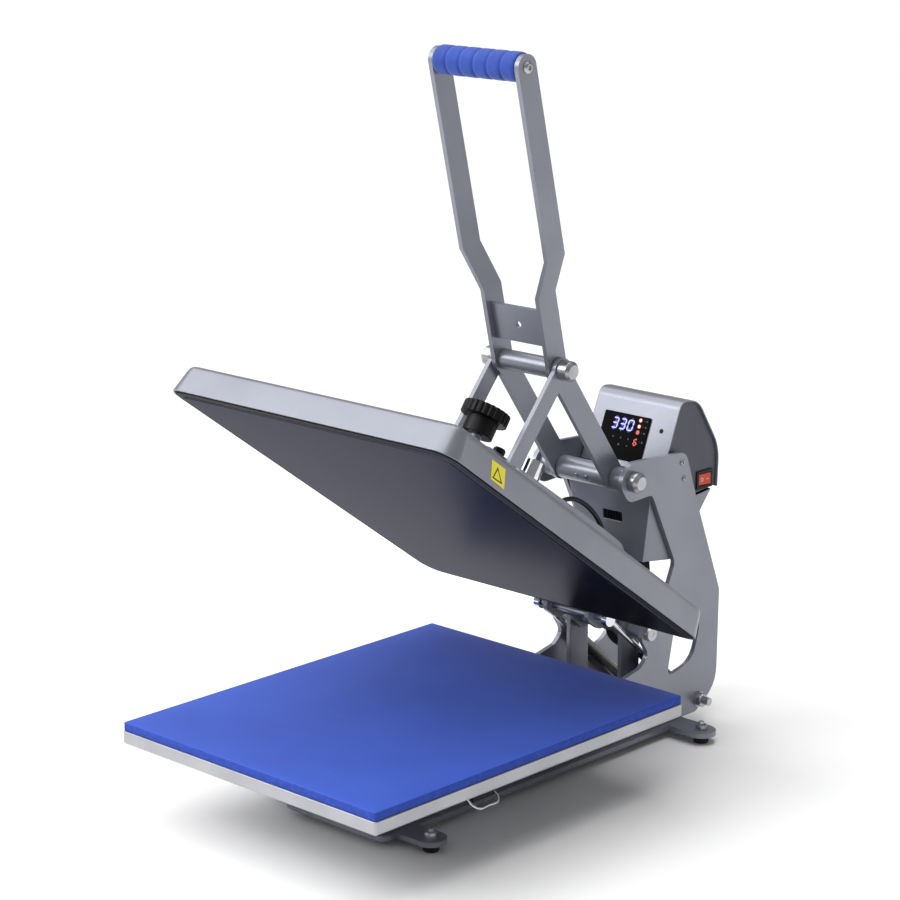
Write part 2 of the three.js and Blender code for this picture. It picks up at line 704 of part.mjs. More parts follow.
function makePressureScrew() {
  const at = inPlaten(SCREW_FORWARD, 0);
  const [bottom, top] = [COVER_H + 1, SCREW_TOP];
  const profile = [[0, bottom], [SCREW_R - 1, bottom], [SCREW_R, bottom + 2], [SCREW_R, top], [0, top]];
  add(upperPlaten, "pressure_screw", turned(profile, 28), chrome).position.set(0, at.y, at.z);
  const hubBottom = SCREW_TOP - 12;
  const disc = slab(knobOutline(), hubBottom + KNOB_HUB_H, KNOB_T);
  const hub = rodZ(KNOB_HUB_R, hubBottom, hubBottom + KNOB_HUB_H + 2, 0, 0, 32);
  const bore = rodZ(SCREW_R + GAP, hubBottom - 1, SCREW_TOP + GAP, 0, 0, 28);
  const knob = cut(join(disc, hub), bore);
  add(upperPlaten, "pressure_knob", knob, blackPlastic).position.set(0, at.y, at.z);
}

makeHeatedPlaten();
makeLiftArms();
makeBridges();
makePressureScrew();

// ---- handle: two bars from the toggle shaft through the knee and up to the grip ----
// A point of the handle: along it from the knee, and ahead of its middle line.
function onHandle(along, ahead = 0) {
  const [s, c] = [Math.sin(LEAN), Math.cos(LEAN)];
  return { y: KNEE.y - along * s - ahead * c, z: KNEE.z + along * c - ahead * s };
}

// The bar's upper part in its own frame: X outwards, Z along the handle from the knee.
function upperBar(sign) {
  const face = [
    [BAR_X, 0],
    [BAR_X, STEP_START],
    [BAR_X + HANDLE_SPREAD, STEP_END],
    [BAR_X + HANDLE_SPREAD, HANDLE_L],
  ];
  const back = face.map(([x, z]) => [x + BAR_T, z]).reverse();
  const outline = new THREE.Shape([...face, ...back].map(([x, z]) => new THREE.Vector2(sign * x, z)));
  const settings = { depth: BAR_W, bevelEnabled: false };
  const strip = new THREE.ExtrudeGeometry(outline, settings).translate(0, 0, -BAR_W / 2).rotateX(Math.PI / 2);
  return strip;
}

function makeHandle() {
  SIDES.forEach(([side, sign]) => {
    const x0 = nearFace(sign, BAR_X, BAR_T);
    const topX = nearFace(sign, BAR_X + HANDLE_SPREAD, BAR_T);
    const grip = onHandle(HANDLE_L);
    const upper = upperBar(sign).rotateX(LEAN).translate(0, KNEE.y, KNEE.z);
    const lower = eyeLink(TOGGLE, KNEE, BAR_W, BAR_W / 2 + 1, BAR_W / 2 + 1, x0, BAR_T);
    const end = rodX(BAR_W / 2, topX, topX + BAR_T, grip, 28);
    const bar = cut(
      join(lower, upper, end),
      rodX(TOGGLE_SHAFT_R + BORE_CLEARANCE, x0 - 1, x0 + BAR_T + 1, TOGGLE, 28),
      rodX(KNEE_SHAFT_R + BORE_CLEARANCE, x0 - 1, x0 + BAR_T + 1, KNEE, 28),
      rodX(GRIP_BOLT_R + GAP, topX - 1, topX + BAR_T + 1, grip, 20),
    );
    add(press, `handle_bar_${side}`, bar, silverPaint);
  });
  makeCrossPlate();
  makeGrip();
  const half = BAR_X - GAP;
  const tubeGeometry = spacerOn(KNEE_SHAFT_R + BORE_CLEARANCE, KNEE_TUBE_R, -half, half, KNEE);
  add(press, "knee_tube", tubeGeometry, silverPaint);
}

function makeCrossPlate() {
  const half = BAR_X - GAP;
  const outline = rectangle(-half, half, -CROSS_H / 2, CROSS_H / 2, 1);
  const hole = new THREE.Path();
  hole.absarc(0, 0, CROSS_HOLE_R, 0, 2 * Math.PI, true);
  outline.holes.push(hole);
  const settings = { depth: CROSS_T, bevelEnabled: false, curveSegments: 24 };
  const middle = onHandle(CROSS_UP, CROSS_FRONT);
  const plate = new THREE.ExtrudeGeometry(outline, settings)
    .rotateX(Math.PI / 2)
    .translate(0, CROSS_T, 0)
    .rotateX(LEAN)
    .translate(0, middle.y, middle.z);
  add(press, "cross_plate", plate, silverPaint);
}

// The foam's grooves are turned into its profile.
function makeGrip() {
  const half = BAR_X + HANDLE_SPREAD - GAP;
  const grip = onHandle(HANDLE_L);
  const segment = (2 * half) / (GRIP_GROOVES + 1);
  const bore = GRIP_TUBE_R + GAP;
  const profile = [[bore, -half], [GRIP_R, -half]];
  for (let i = 1; i <= GRIP_GROOVES; i += 1) {
    const z = -half + i * segment;
    profile.push([GRIP_R, z - GRIP_GROOVE], [GRIP_R - GRIP_GROOVE, z], [GRIP_R, z + GRIP_GROOVE]);
  }
  profile.push([GRIP_R, half], [bore, half], [bore, -half]);
  const foam = turned(profile, 28).rotateY(Math.PI / 2).translate(0, grip.y, grip.z);
  add(press, "grip_foam", foam, blueFoam);
  const tubeGeometry = cut(
    rodX(GRIP_TUBE_R, -half, half, grip, 24),
    rodX(GRIP_BOLT_R + GAP, -half - 1, half + 1, grip, 20),
  );
  add(press, "grip_tube", tubeGeometry, zincSteel);
}

// ---- front links and the knee shaft they carry ----
function makeFrontLinks() {
  const eye = FRONT_LINK_W / 2 + 1;
  SIDES.forEach(([side, sign]) => {
    const x0 = nearFace(sign, FRONT_LINK_X, BAR_T);
    const link = eyeLink(KNEE, PIN, FRONT_LINK_W, FRONT_LINK_EYE_R, eye, x0, BAR_T);
    const bore = rodX(KNEE_SHAFT_R + GAP, x0 - 1, x0 + BAR_T + 1, KNEE, 28);
    add(press, `front_link_${side}`, cut(link, bore), silverPaint);
  });
  const collar = FRONT_LINK_X + BAR_T + GAP;
  const end = collar + KNEE_COLLAR_L;
  const head = [
    [KNEE_TUBE_R, collar],
    [KNEE_TUBE_R, end - KNEE_COLLAR_CHAMFER],
    [KNEE_TUBE_R - KNEE_COLLAR_CHAMFER, end],
    [0, end],
  ];
  add(press, "knee_shaft", headedShaft(KNEE_SHAFT_R, head, KNEE), zincSteel);
}

makeHandle();
makeFrontLinks();

// ---- control box: a folded wrap, dark end panels set into its ends and a tray under it ----
// Its outline back and up from the hinge, each corner with its radius.
const BOX_CORNERS = [
  [...BOX_FRONT_FOOT, 2],
  [...BOX_FRONT_TOP, 16],
  [98, 272, 40],
  [141, 206, 60],
  [...BOX_BACK_FOOT, 3],
  [...BOX_MOUTH, 2],
];
const TRAY_CORNERS = [
  [BOX_MOUTH[0] - 6, BOX_MOUTH[1] - 2, 0],
  [58, TRAY_BOTTOM, 6],
  [106, TRAY_BOTTOM, 10],
  [BOX_BACK_FOOT[0] - 9, BOX_BACK_FOOT[1] - 2, 0],
];

// The same corners moved inwards by a distance; they run clockwise, so inwards is to the right.
function insetCorners(corners, distance) {
  const normal = ([a, b], [c, d]) => new THREE.Vector2(d - b, a - c).normalize();
  return corners.map((corner, i) => {
    const before = normal(corners.at(i - 1), corner);
    const after = normal(corner, corners[(i + 1) % corners.length]);
    const shift = before.clone().add(after).multiplyScalar(distance / (1 + before.dot(after)));
    return [corner[0] + shift.x, corner[1] + shift.y, Math.max(corner[2] - distance, 0)];
  });
}

const fromHinge = (corners) => roundedOutline(corners.map(([y, z, r]) => [HINGE.y + y, HINGE.z + z, r]));

// What stands on the box's sloping front is built flat: X to the right, Y up it and Z out of it.
const boxFront = new THREE.Group();
boxFront.position.set(0, HINGE.y + BOX_FRONT_FOOT[0], HINGE.z + BOX_FRONT_FOOT[1]);
boxFront.rotation.x = Math.atan2(BOX_FRONT_TOP[1] - BOX_FRONT_FOOT[1], BOX_FRONT_TOP[0] - BOX_FRONT_FOOT[0]);
press.add(boxFront);

function makeBoxShells() {
  const whole = plateX(fromHinge(BOX_CORNERS), -BOX_HALF_W, 2 * BOX_HALF_W, 8);
  const inner = insetCorners(BOX_CORNERS, BOX_WALL);
  const hollow = plateX(fromHinge(inner), -BOX_HALF_W - 1, 2 * BOX_HALF_W + 2, 8);
  const [footY, footZ] = BOX_FRONT_FOOT;
  const [backY, backZ] = BOX_BACK_FOOT;
  const mouth = [
    [footY - 4, footZ - 2],
    [footY + 10, footZ + 4],
    [backY - BOX_WALL, backZ + 8],
    [backY - BOX_WALL, BOX_MOUTH[1] - 4],
    [BOX_MOUTH[0] - 10, BOX_MOUTH[1] - 4],
  ];
  const below = plateX(fromHinge(mouth), -BOX_HALF_W - 1, 2 * BOX_HALF_W + 2);
  add(press, "control_box_wrap", cut(whole, hollow, below), silverPaint);

  const pan = plateX(fromHinge(TRAY_CORNERS), -TRAY_HALF_W, 2 * TRAY_HALF_W);
  const panInner = insetCorners(TRAY_CORNERS, BOX_WALL);
  panInner[0][1] += 2 * BOX_WALL;
  panInner[3][1] += 2 * BOX_WALL;
  const inside = plateX(fromHinge(panInner), BOX_WALL - TRAY_HALF_W, 2 * (TRAY_HALF_W - BOX_WALL));
  const entry = SLEEVE_ROUTE.at(-1);
  const gland = rodZ(SLEEVE_R + 1, HINGE.z + TRAY_BOTTOM - 5, HINGE.z + TRAY_BOTTOM + 5, entry[0], entry[1]);
  add(press, "control_box_tray", cut(pan, inside, gland), silverPaint);
}

// The switch sits in the right end panel and the mains inlet in the left one, back to back.
function makeBoxEnds() {
  const outline = fromHinge(insetCorners(BOX_CORNERS, BOX_WALL + GAP));
  const [y, z] = [HINGE.y + SWITCH_Y, HINGE.z + SWITCH_Z];
  const outer = BOX_HALF_W - BOX_END_INSET;
  const seats = { left: [INLET_W, INLET_H], right: [SWITCH_W, SWITCH_H] };
  SIDES.forEach(([side, sign]) => {
    const x0 = nearFace(sign, outer - BOX_END_T, BOX_END_T);
    const [w, h] = seats[side].map((size) => size / 2 - SWITCH_FLANGE + GAP);
    const seat = box(x0 - 1, x0 + BOX_END_T + 1, y - w, y + w, z - h, z + h);
    add(press, `control_box_end_${side}`, cut(plateX(outline, x0, BOX_END_T, 8), seat), greyPaint);
  });

  // A flange on the panel and a body behind it, with a pocket; X runs out of the panel.
  const flanged = (width, height, pocketDepth) => {
    const [w, h] = [width / 2, height / 2];
    const [bw, bh] = [w - SWITCH_FLANGE, h - SWITCH_FLANGE];
    const [pw, ph] = [bw - BOX_WALL, bh - BOX_WALL];
    const flange = box(GAP, SWITCH_PROUD, -w, w, -h, h);
    const body = box(-SWITCH_DEPTH, GAP + 1, -bw, bw, -bh, bh);
    return cut(join(flange, body), box(SWITCH_PROUD - pocketDepth, SWITCH_PROUD + 1, -pw, pw, -ph, ph));
  };
  add(press, "switch_bezel", flanged(SWITCH_W, SWITCH_H, 9), blackPlastic).position.set(outer, y, z);

  const pins = [[-6, 2], [6, 2], [0, -3]].map(([a, b]) =>
    box(-SWITCH_DEPTH + 1, INLET_PIN_END, a - 1, a + 1, b - 2, b + 2),
  );
  const inlet = add(press, "power_inlet", join(flanged(INLET_W, INLET_H, 12), ...pins), blackPlastic);
  inlet.rotation.z = Math.PI;
  inlet.position.set(-outer, y, z);

  const [rw, rh] = [SWITCH_W / 2 - SWITCH_FLANGE - BOX_WALL, SWITCH_H / 2 - SWITCH_FLANGE - BOX_WALL];
  const paddle = new THREE.Shape();
  paddle.moveTo(-3, -(rw - 1.2));
  paddle.lineTo(1.2, -(rw - 0.9));
  paddle.quadraticCurveTo(0.2, 0, 1.2, rw - 0.9);
  paddle.lineTo(-3, rw - 1.2);
  paddle.closePath();
  const rocker = slab(paddle, -(rh - 0.6), 2 * (rh - 0.6), 8);
  const rockerMesh = add(press, "power_rocker", rocker, redPlastic);
  rockerMesh.rotation.z = THREE.MathUtils.degToRad(-ROCKER_TILT_DEG);
  rockerMesh.position.set(outer + SWITCH_PROUD - 1, y, z);
}

function makeDisplay() {
  const [w, h] = [DISPLAY_W / 2, DISPLAY_H / 2];
  const outline = roundedOutline([
    [-w, h, 2],
    [-w, DISPLAY_CHAMFER - h, 1],
    [DISPLAY_CHAMFER - w, -h, 1],
    [w - DISPLAY_CHAMFER, -h, 1],
    [w, DISPLAY_CHAMFER - h, 1],
    [w, h, 2],
  ]);
  const panel = add(boxFront, "display_panel", slab(outline, GAP, DISPLAY_T, 4), blackPlastic);
  panel.position.set(DISPLAY_X, DISPLAY_UP, 0);
  const board = box(-w, w, -h, h, -BOARD_SETBACK - BOARD_T, -BOARD_SETBACK);
  add(boxFront, "control_board", board, circuitGreen).position.set(DISPLAY_X, DISPLAY_UP, 0);
}

// ---- shroud: a folded sheet under the box, narrower at its foot, open below and behind ----
function makeShroud() {
  const bothSides = ([x, y, z]) =>
    [x, -x].map((side) => new THREE.Vector3(side, HINGE.y + y, HINGE.z + z));
  const hull = (corners) => new ConvexGeometry(corners.flatMap(bothSides));
  const [topY, topZ] = SHROUD_FRONT_TOP;
  const [footY, footZ] = SHROUD_FRONT_FOOT;
  const [lidY, lidZ] = SHROUD_LID;
  const rise = (lidZ - topZ) / (lidY - topY);
  const outer = hull([
    [SHROUD_HALF_W, topY, topZ],
    [SHROUD_HALF_W, lidY, lidZ],
    [SHROUD_HALF_W, SHROUD_BACK, topZ],
    [SHROUD_FOOT_HALF_W, footY, footZ],
    [SHROUD_HALF_W, SHROUD_BACK, footZ],
  ]);
  const innerW = SHROUD_HALF_W - SHROUD_T;
  const innerZ = topZ - SHROUD_T / 2;
  const reach = 4;
  const inner = hull([
    [innerW, topY + SHROUD_T, innerZ],
    [innerW, lidY + reach, innerZ + rise * (lidY + reach - topY - SHROUD_T)],
    [innerW, SHROUD_BACK + reach, topZ],
    [SHROUD_FOOT_HALF_W - SHROUD_T, footY + SHROUD_T, footZ - 1],
    [innerW, SHROUD_BACK + reach, footZ - 1],
  ]);
  const [ventX, ventZ] = [VENT_LEFT, HINGE.z + VENT_UP];
  const vent = box(ventX, ventX + VENT_W, HINGE.y + topY - 5, HINGE.y + footY + 5, ventZ, ventZ + VENT_H);
  add(press, "shroud", cut(outer, inner, vent), silverPaint);
}

// ---- heater cable from the cover to its sleeve, and the sleeve up into the tray ----
const CABLE_ROUTE = [
  [8, 78.5, 278], [8, 98, 290], [8, 118, 303], [8, 141, 312], [8, 162, 310], [8, 180, 301],
  [8, 196, 288], [8, 209, 272], [8, 218, 254], [7, 226, 236], [5, 234, 216], [3, 239.5, 201],
];
const SLEEVE_ROUTE = [
  [2.9, 239.8, 200], [0, 244, 180], [-4, 249, 156], [-7, 252, 134], [-6, 256, 117], [0, 264, 108],
  [8, 274, 111], [13, 282, 128], [14, 287, 155], [13, 290, 185], [9, 292, 215], [5, 294, 240],
  [4, 295, 262], [4, 295, 284],
];

function makeCable() {
  add(press, "heater_cable", tube(CABLE_ROUTE, CABLE_R, 4, 18), blackRubber);
  add(press, "cable_sleeve", tube(SLEEVE_ROUTE, SLEEVE_R, 6, 24), blackRubber);
}

// ---- gas springs that hold the upper platen open, each in its own frame with Z along it ----
function makeGasSprings() {
  const [dy, dz] = [GAS_TOP.y - TIE.y, GAS_TOP.z - TIE.z];
  const length = Math.hypot(dy, dz);
  const half = GAS_EYE_T / 2;
  const bore = GAS_ROD_R + BORE_CLEARANCE;
  const eyeEnd = GAS_EYE_R + 3;
  const bodyProfile = [
    [0, eyeEnd],
    [GAS_BODY_R - 1, eyeEnd],
    [GAS_BODY_R, eyeEnd + 1],
    [GAS_BODY_R, GAS_BODY_END - 1],
    [GAS_BODY_R - 1, GAS_BODY_END],
    [bore, GAS_BODY_END],
    [bore, GAS_BORE_END],
    [0, GAS_BORE_END],
  ];
  SIDES.forEach(([side, sign]) => {
    const spring = new THREE.Group();
    spring.position.set(sign * GAS_X, TIE.y, TIE.z);
    spring.rotation.x = Math.atan2(-dy, dz);
    press.add(spring);
    const foot = { y: 0, z: 0 };
    const neck = rodZ(GAS_ROD_R + 1, 0, eyeEnd + 1, 0, 0, 16);
    const body = cut(
      join(turned(bodyProfile, 28), neck, rodX(GAS_EYE_R, -half, half, foot, 28)),
      rodX(TIE_R + BORE_CLEARANCE, -half - 1, half + 1, foot, 24),
    );
    add(spring, `gas_body_${side}`, body, blackPlastic);
    const stem = rodZ(GAS_ROD_R, GAS_ROD_START, length, 0, 0, 20);
    const rod = join(stem, rodX(GAS_EYE_R, -half, half, { y: 0, z: length }, 28));
    add(spring, `gas_rod_${side}`, rod, chrome);
  });
}

// ---- catch under the lower platen: a block with a wire bail that swings on its ends ----
function makeCatch() {
  const top = PLATEN_Z - GAP;
  const [front, back] = [CATCH_MIDDLE_Y - CATCH_L / 2, CATCH_MIDDLE_Y + CATCH_L / 2];
  const [x0, x1] = [CATCH_PIVOT_X - 10, CATCH_PIVOT_X + 7];
  const block = roundedOutline([[x0, top], [x1, top], [x1, top - CATCH_H, 4], [x0, top - CATCH_H, 2]]);
  const body = slab(block, 0, CATCH_L, 4).rotateX(Math.PI / 2).translate(0, back, 0);
  add(press, "catch_body", body, blackPlastic);
  const [pivotZ, end] = [top - CATCH_H / 2, BAIL_WIRE_R + GAP];
  const loop = [
    [0, front - end, 0],
    [BAIL_REACH * 0.6, front - end - 1, -BAIL_DROP * 0.6],
    [BAIL_REACH, front + 3, -BAIL_DROP],
    [BAIL_REACH, CATCH_MIDDLE_Y, -BAIL_DROP],
    [BAIL_REACH, back - 3, -BAIL_DROP],
    [BAIL_REACH * 0.6, back + end + 1, -BAIL_DROP * 0.6],
    [0, back + end, 0],
  ];
  const bail = add(press, "catch_bail", tube(loop, BAIL_WIRE_R, 4, 30), chrome);
  bail.position.set(CATCH_PIVOT_X, 0, pivotZ);
}

makeBoxShells();
makeBoxEnds();
makeDisplay();
makeShroud();
makeCable();
makeGasSprings();
makeCatch();

export default press;
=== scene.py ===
# Clamshell heat press, standing open, finished piece by piece in the order it is put together.
import json
import math

import bmesh
import bpy
from mathutils import Matrix, Vector
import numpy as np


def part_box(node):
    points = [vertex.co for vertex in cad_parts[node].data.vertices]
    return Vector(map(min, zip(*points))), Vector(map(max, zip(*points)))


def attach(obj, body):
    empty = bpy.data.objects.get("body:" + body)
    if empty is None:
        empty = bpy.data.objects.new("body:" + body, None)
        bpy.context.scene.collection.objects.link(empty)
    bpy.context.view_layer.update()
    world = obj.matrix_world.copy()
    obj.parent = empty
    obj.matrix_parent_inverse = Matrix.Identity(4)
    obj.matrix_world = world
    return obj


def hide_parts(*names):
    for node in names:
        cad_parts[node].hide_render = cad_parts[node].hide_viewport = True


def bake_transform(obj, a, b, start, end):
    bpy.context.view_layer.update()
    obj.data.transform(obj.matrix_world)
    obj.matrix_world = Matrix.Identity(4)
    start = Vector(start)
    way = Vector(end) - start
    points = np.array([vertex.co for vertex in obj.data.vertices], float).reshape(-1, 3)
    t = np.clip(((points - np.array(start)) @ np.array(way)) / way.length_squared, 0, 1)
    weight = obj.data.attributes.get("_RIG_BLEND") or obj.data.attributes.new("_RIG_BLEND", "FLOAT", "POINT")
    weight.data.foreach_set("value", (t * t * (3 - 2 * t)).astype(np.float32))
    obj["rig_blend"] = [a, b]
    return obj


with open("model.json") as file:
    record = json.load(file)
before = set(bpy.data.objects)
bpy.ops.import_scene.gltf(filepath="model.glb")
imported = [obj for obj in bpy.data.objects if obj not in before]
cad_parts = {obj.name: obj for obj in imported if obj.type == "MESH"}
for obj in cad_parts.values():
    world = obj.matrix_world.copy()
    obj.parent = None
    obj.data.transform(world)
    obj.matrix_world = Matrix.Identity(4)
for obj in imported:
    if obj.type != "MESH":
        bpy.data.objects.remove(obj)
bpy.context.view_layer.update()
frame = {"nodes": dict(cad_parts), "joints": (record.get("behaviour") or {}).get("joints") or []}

joints = {joint["name"]: joint for joint in frame["joints"]}


# ---- Camera ----
# It stands at the operator's right, a little above the open upper platen, and looks at the middle of
# the press through a long lens.
CAMERA_PLACE = (2.0587, -2.2226, 1.1646)
CAMERA_AZIMUTH = math.radians(43.389)
CAMERA_DROP = math.radians(14.186)

camera_data = bpy.data.cameras.new("camera")
camera_data.lens = 109.18
camera_data.sensor_width = 36
camera_data.clip_end = 200
camera = bpy.data.objects.new("camera", camera_data)
camera.location = CAMERA_PLACE
camera.rotation_euler = (math.pi / 2 - CAMERA_DROP, 0, CAMERA_AZIMUTH)
bpy.context.scene.collection.objects.link(camera)
bpy.context.scene.camera = camera


# ---- Heater cable ----
# A round PVC lead from the cover of the upper platen to the braided sleeve behind it. It is held at
# both ends, and it bends where the platen swings away from the tower.
CABLE_RADIUS = 0.003
CABLE_ROUTE = [
    (8, 76.5, 275.5), (8, 98, 290), (8, 118, 303), (8, 141, 312), (8, 162, 310), (8, 180, 301),
    (8, 196, 288), (8, 209, 272), (8, 218, 254), (7, 226, 236), (5, 234, 216), (3, 239.5, 201),
]


def linear(hex_colour):
    """An sRGB hex colour as linear RGBA."""
    parts = [int(hex_colour[i:i + 2], 16) / 255 for i in (1, 3, 5)]
    return tuple(c / 12.92 if c <= 0.04045 else ((c + 0.055) / 1.055) ** 2.4 for c in parts) + (1.0,)


def add_node(tree, kind, settings=None, links=None):
    """One shader node, with its properties or input values set and its inputs linked."""
    made = tree.nodes.new("ShaderNode" + kind)
    for name, value in (settings or {}).items():
        if hasattr(made, name):
            setattr(made, name, value)
        else:
            made.inputs[name].default_value = value
    for name, source in (links or {}).items():
        tree.links.new(source, made.inputs[name])
    return made


def surface(name, light, dark, metallic, roughness, grain_mm, relief_mm, blotch_mm=70, stretch=(1, 1, 1),
            spread=0.06, shader=None):
    """A finish with a slow drift between two tones and a fine grain that roughens it and lifts it."""
    material = bpy.data.materials.new(name)
    material.use_nodes = True
    tree = material.node_tree
    shade = tree.nodes["Principled BSDF"]
    for socket, value in {"Metallic": metallic, **(shader or {})}.items():
        shade.inputs[socket].default_value = value
    place = add_node(tree, "TexCoord").outputs["Object"]
    drawn = add_node(tree, "Mapping", {"Scale": stretch}, {"Vector": place}).outputs["Vector"]
    blotch = add_node(tree, "TexNoise", {"Scale": 1000 / blotch_mm, "Detail": 3.0}, {"Vector": place})
    drift = add_node(tree, "MapRange", {"From Min": 0.35, "From Max": 0.65}, {"Value": blotch.outputs["Fac"]})
    tone = add_node(tree, "MixRGB", {"Color1": linear(dark), "Color2": linear(light)},
                    {"Fac": drift.outputs["Result"]})
    grain = add_node(tree, "TexNoise", {"Scale": 1000 / grain_mm, "Detail": 4.0}, {"Vector": drawn})
    worn = add_node(tree, "MapRange", {"From Min": 0.3, "From Max": 0.7, "To Min": roughness - spread,
                                       "To Max": roughness + spread}, {"Value": grain.outputs["Fac"]})
    relief = add_node(tree, "Bump", {"Strength": 0.7, "Distance": relief_mm / 1000},
                      {"Height": grain.outputs["Fac"]})
    tree.links.new(tone.outputs["Color"], shade.inputs["Base Color"])
    tree.links.new(worn.outputs["Result"], shade.inputs["Roughness"])
    tree.links.new(relief.outputs["Normal"], shade.inputs["Normal"])
    return material


def piece(name, points, faces, material, body, sharp_degrees=32):
    """A new mesh piece in metres, smooth but for its sharp edges, that rides on a body unless it bends."""
    mesh = bpy.data.meshes.new(name)
    mesh.from_pydata([tuple(point) for point in points], [], faces)
    shaped = bmesh.new()
    shaped.from_mesh(mesh)
    bmesh.ops.recalc_face_normals(shaped, faces=shaped.faces)
    shaped.to_mesh(mesh)
    shaped.free()
    mesh.polygons.foreach_set("use_smooth", [True] * len(mesh.polygons))
    mesh.set_sharp_from_angle(angle=math.radians(sharp_degrees))
    mesh.materials.append(material)
    made = bpy.data.objects.new(name, mesh)
    bpy.context.scene.collection.objects.link(made)
    if body:
        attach(made, body)
    return made


def skin(name, rings, material, body, sharp_degrees=32):
    """A closed piece over a stack of rings that all have the same number of points."""
    count = len(rings[0])
    faces = []
    for low in range(len(rings) - 1):
        for i in range(count):
            j = (i + 1) % count
            faces.append((low * count + i, low * count + j, (low + 1) * count + j, (low + 1) * count + i))
    faces.append(tuple(range(count))[::-1])
    faces.append(tuple(range((len(rings) - 1) * count, len(rings) * count)))
    points = [point for ring in rings for point in ring]
    return piece(name, points, faces, material, body, sharp_degrees)


def smooth_route(knots, step):
    """Points at an even step along a curve through the knots, given in millimetres."""
    knots = [Vector(knot) / 1000 for knot in knots]
    ends = [2 * knots[0] - knots[1], *knots, 2 * knots[-1] - knots[-2]]
    dense = []
    for a, b, c, d in zip(ends, ends[1:], ends[2:], ends[3:]):
        for i in range(24):
            t = i / 24
            dense.append(0.5 * (2 * b + (c - a) * t + (2 * a - 5 * b + 4 * c - d) * t ** 2
                                + (3 * b - a - 3 * c + d) * t ** 3))
    dense.append(knots[-1])
    route, left = [dense[0]], step
    for a, b in zip(dense, dense[1:]):
        gap = (b - a).length
        while gap >= left > 0:
            a = a + (b - a).normalized() * left
            route.append(a)
            gap -= left
            left = step
        left -= gap
    return route


def tube_rings(route, radius, sides):
    """Rings round a route; radius is a function of the way along in metres and the angle round."""
    side = Vector((1, 0, 0))
    rings, along = [], 0
    for i, point in enumerate(route):
        ahead = (route[min(i + 1, len(route) - 1)] - route[max(i - 1, 0)]).normalized()
        side = (side - side.dot(ahead) * ahead).normalized()
        other = ahead.cross(side)
        along += (point - route[i - 1]).length if i else 0
        ring = []
        for k in range(sides):
            angle = 2 * math.pi * k / sides
            ring.append(point + radius(along, angle) * (math.cos(angle) * side + math.sin(angle) * other))
        rings.append(ring)
    return rings


# PVC lead sheath: soft black plastic with a faint sheen along its top.
black_pvc = surface("black_pvc_sheath", "#232326", "#151517", 0, 0.42, 1.6, 0.02)
cable_path = smooth_route(CABLE_ROUTE, 0.003)
heater_cable = skin("heater_cable_lead", tube_rings(cable_path, lambda along, angle: CABLE_RADIUS, 20),
                    black_pvc, None)
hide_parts("heater_cable")
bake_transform(heater_cable, "root", "upper_platen", start=(0.008, 0.226, 0.236), end=(0.008, 0.084, 0.281))


# ---- Braided sleeve ----
# Expandable polyester braid over the lead and its earth wire, from behind the cover down between the
# posts and up into the tray of the control box. Its strands cross in a fine diamond weave.
SLEEVE_RADIUS = 0.0077
SLEEVE_STRANDS = 14
SLEEVE_PITCH = 0.030
SLEEVE_ROUTE = [
    (2.9, 239.8, 200), (0, 244, 180), (-4, 249, 156), (-7, 252, 134), (-6, 256, 117), (0, 264, 108),
    (8, 274, 111), (13, 282, 128), (14, 287, 155), (13, 290, 185), (9, 292, 215), (5, 294, 240),
    (4, 295, 262), (4, 295, 284),
]


def braid(along, angle):
    turn = 2 * math.pi * along / SLEEVE_PITCH
    right = math.cos(SLEEVE_STRANDS / 2 * (angle + turn * 0.5))
    left = math.cos(SLEEVE_STRANDS / 2 * (angle - turn * 0.5))
    return SLEEVE_RADIUS - 0.0007 + 0.0009 * max(right * right, left * left) ** 2


# Polyester monofilament: near black, with small bright glints on the strands.
black_braid = surface("black_polyester_braid", "#2B2B2E", "#121213", 0, 0.5, 0.8, 0.05,
                      shader={"Sheen Weight": 0.25})
sleeve_path = smooth_route(SLEEVE_ROUTE, 0.0008)
cable_sleeve = skin("cable_sleeve_braid", tube_rings(sleeve_path, braid, 112), black_braid, "root",
                    80)
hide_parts("cable_sleeve")


# ---- Base plate, side plates and posts ----
# Laser-cut mild steel sheet, powder coated silver. The side plates stand on the base plate and run in
# one piece from under the lower platen up to the toggle shaft.
PAINT_GRAIN_MM = 2.2
CARRIED_SHADING = ("custom_normal", "sharp_face", "sharp_edge")


def finish_cad(names, material, edge_mm=0.6, facet_degrees=32):
    """Gives frame pieces their material, and broken edges that catch the light."""
    for name in names:
        made = frame["nodes"][name]
        for slot in made.material_slots:
            slot.link = "OBJECT"
            slot.material = material
        for layer in [a for a in made.data.attributes if a.name in CARRIED_SHADING]:
            made.data.attributes.remove(layer)
        weld = made.modifiers.new("weld", "WELD")
        weld.merge_threshold = 1e-6
        flat = made.modifiers.new("flat_faces", "DECIMATE")
        flat.decimate_type = "DISSOLVE"
        flat.angle_limit = math.radians(0.6)
        edge = made.modifiers.new("broken_edges", "BEVEL")
        edge.width = edge_mm / 1000
        edge.segments = 2
        edge.limit_method = "ANGLE"
        edge.angle_limit = math.radians(facet_degrees)
        edge.use_clamp_overlap = True
        shade = made.modifiers.new("even_shading", "WEIGHTED_NORMAL")
        shade.weight = 80


# Silver powder coat on sheet steel: satin, with fine metal flake and the slight orange peel of the oven.
silver_coat = surface("silver_powder_coat", "#8E909B", "#848691", 0.5, 0.34, PAINT_GRAIN_MM, 0.012,
                      blotch_mm=120, spread=0.04, shader={"Coat Weight": 0.15, "Coat Roughness": 0.25})
finish_cad(["base_plate", "side_plate_left", "side_plate_right", "hinge_post_left", "hinge_post_right"],
           silver_coat)


# ---- Feet ----
# Moulded rubber levelling feet, each on a zinc-plated stud with a lock nut on the plate's ear.
FEET = ["foot_front_left", "foot_front_right", "foot_rear_left", "foot_rear_right"]


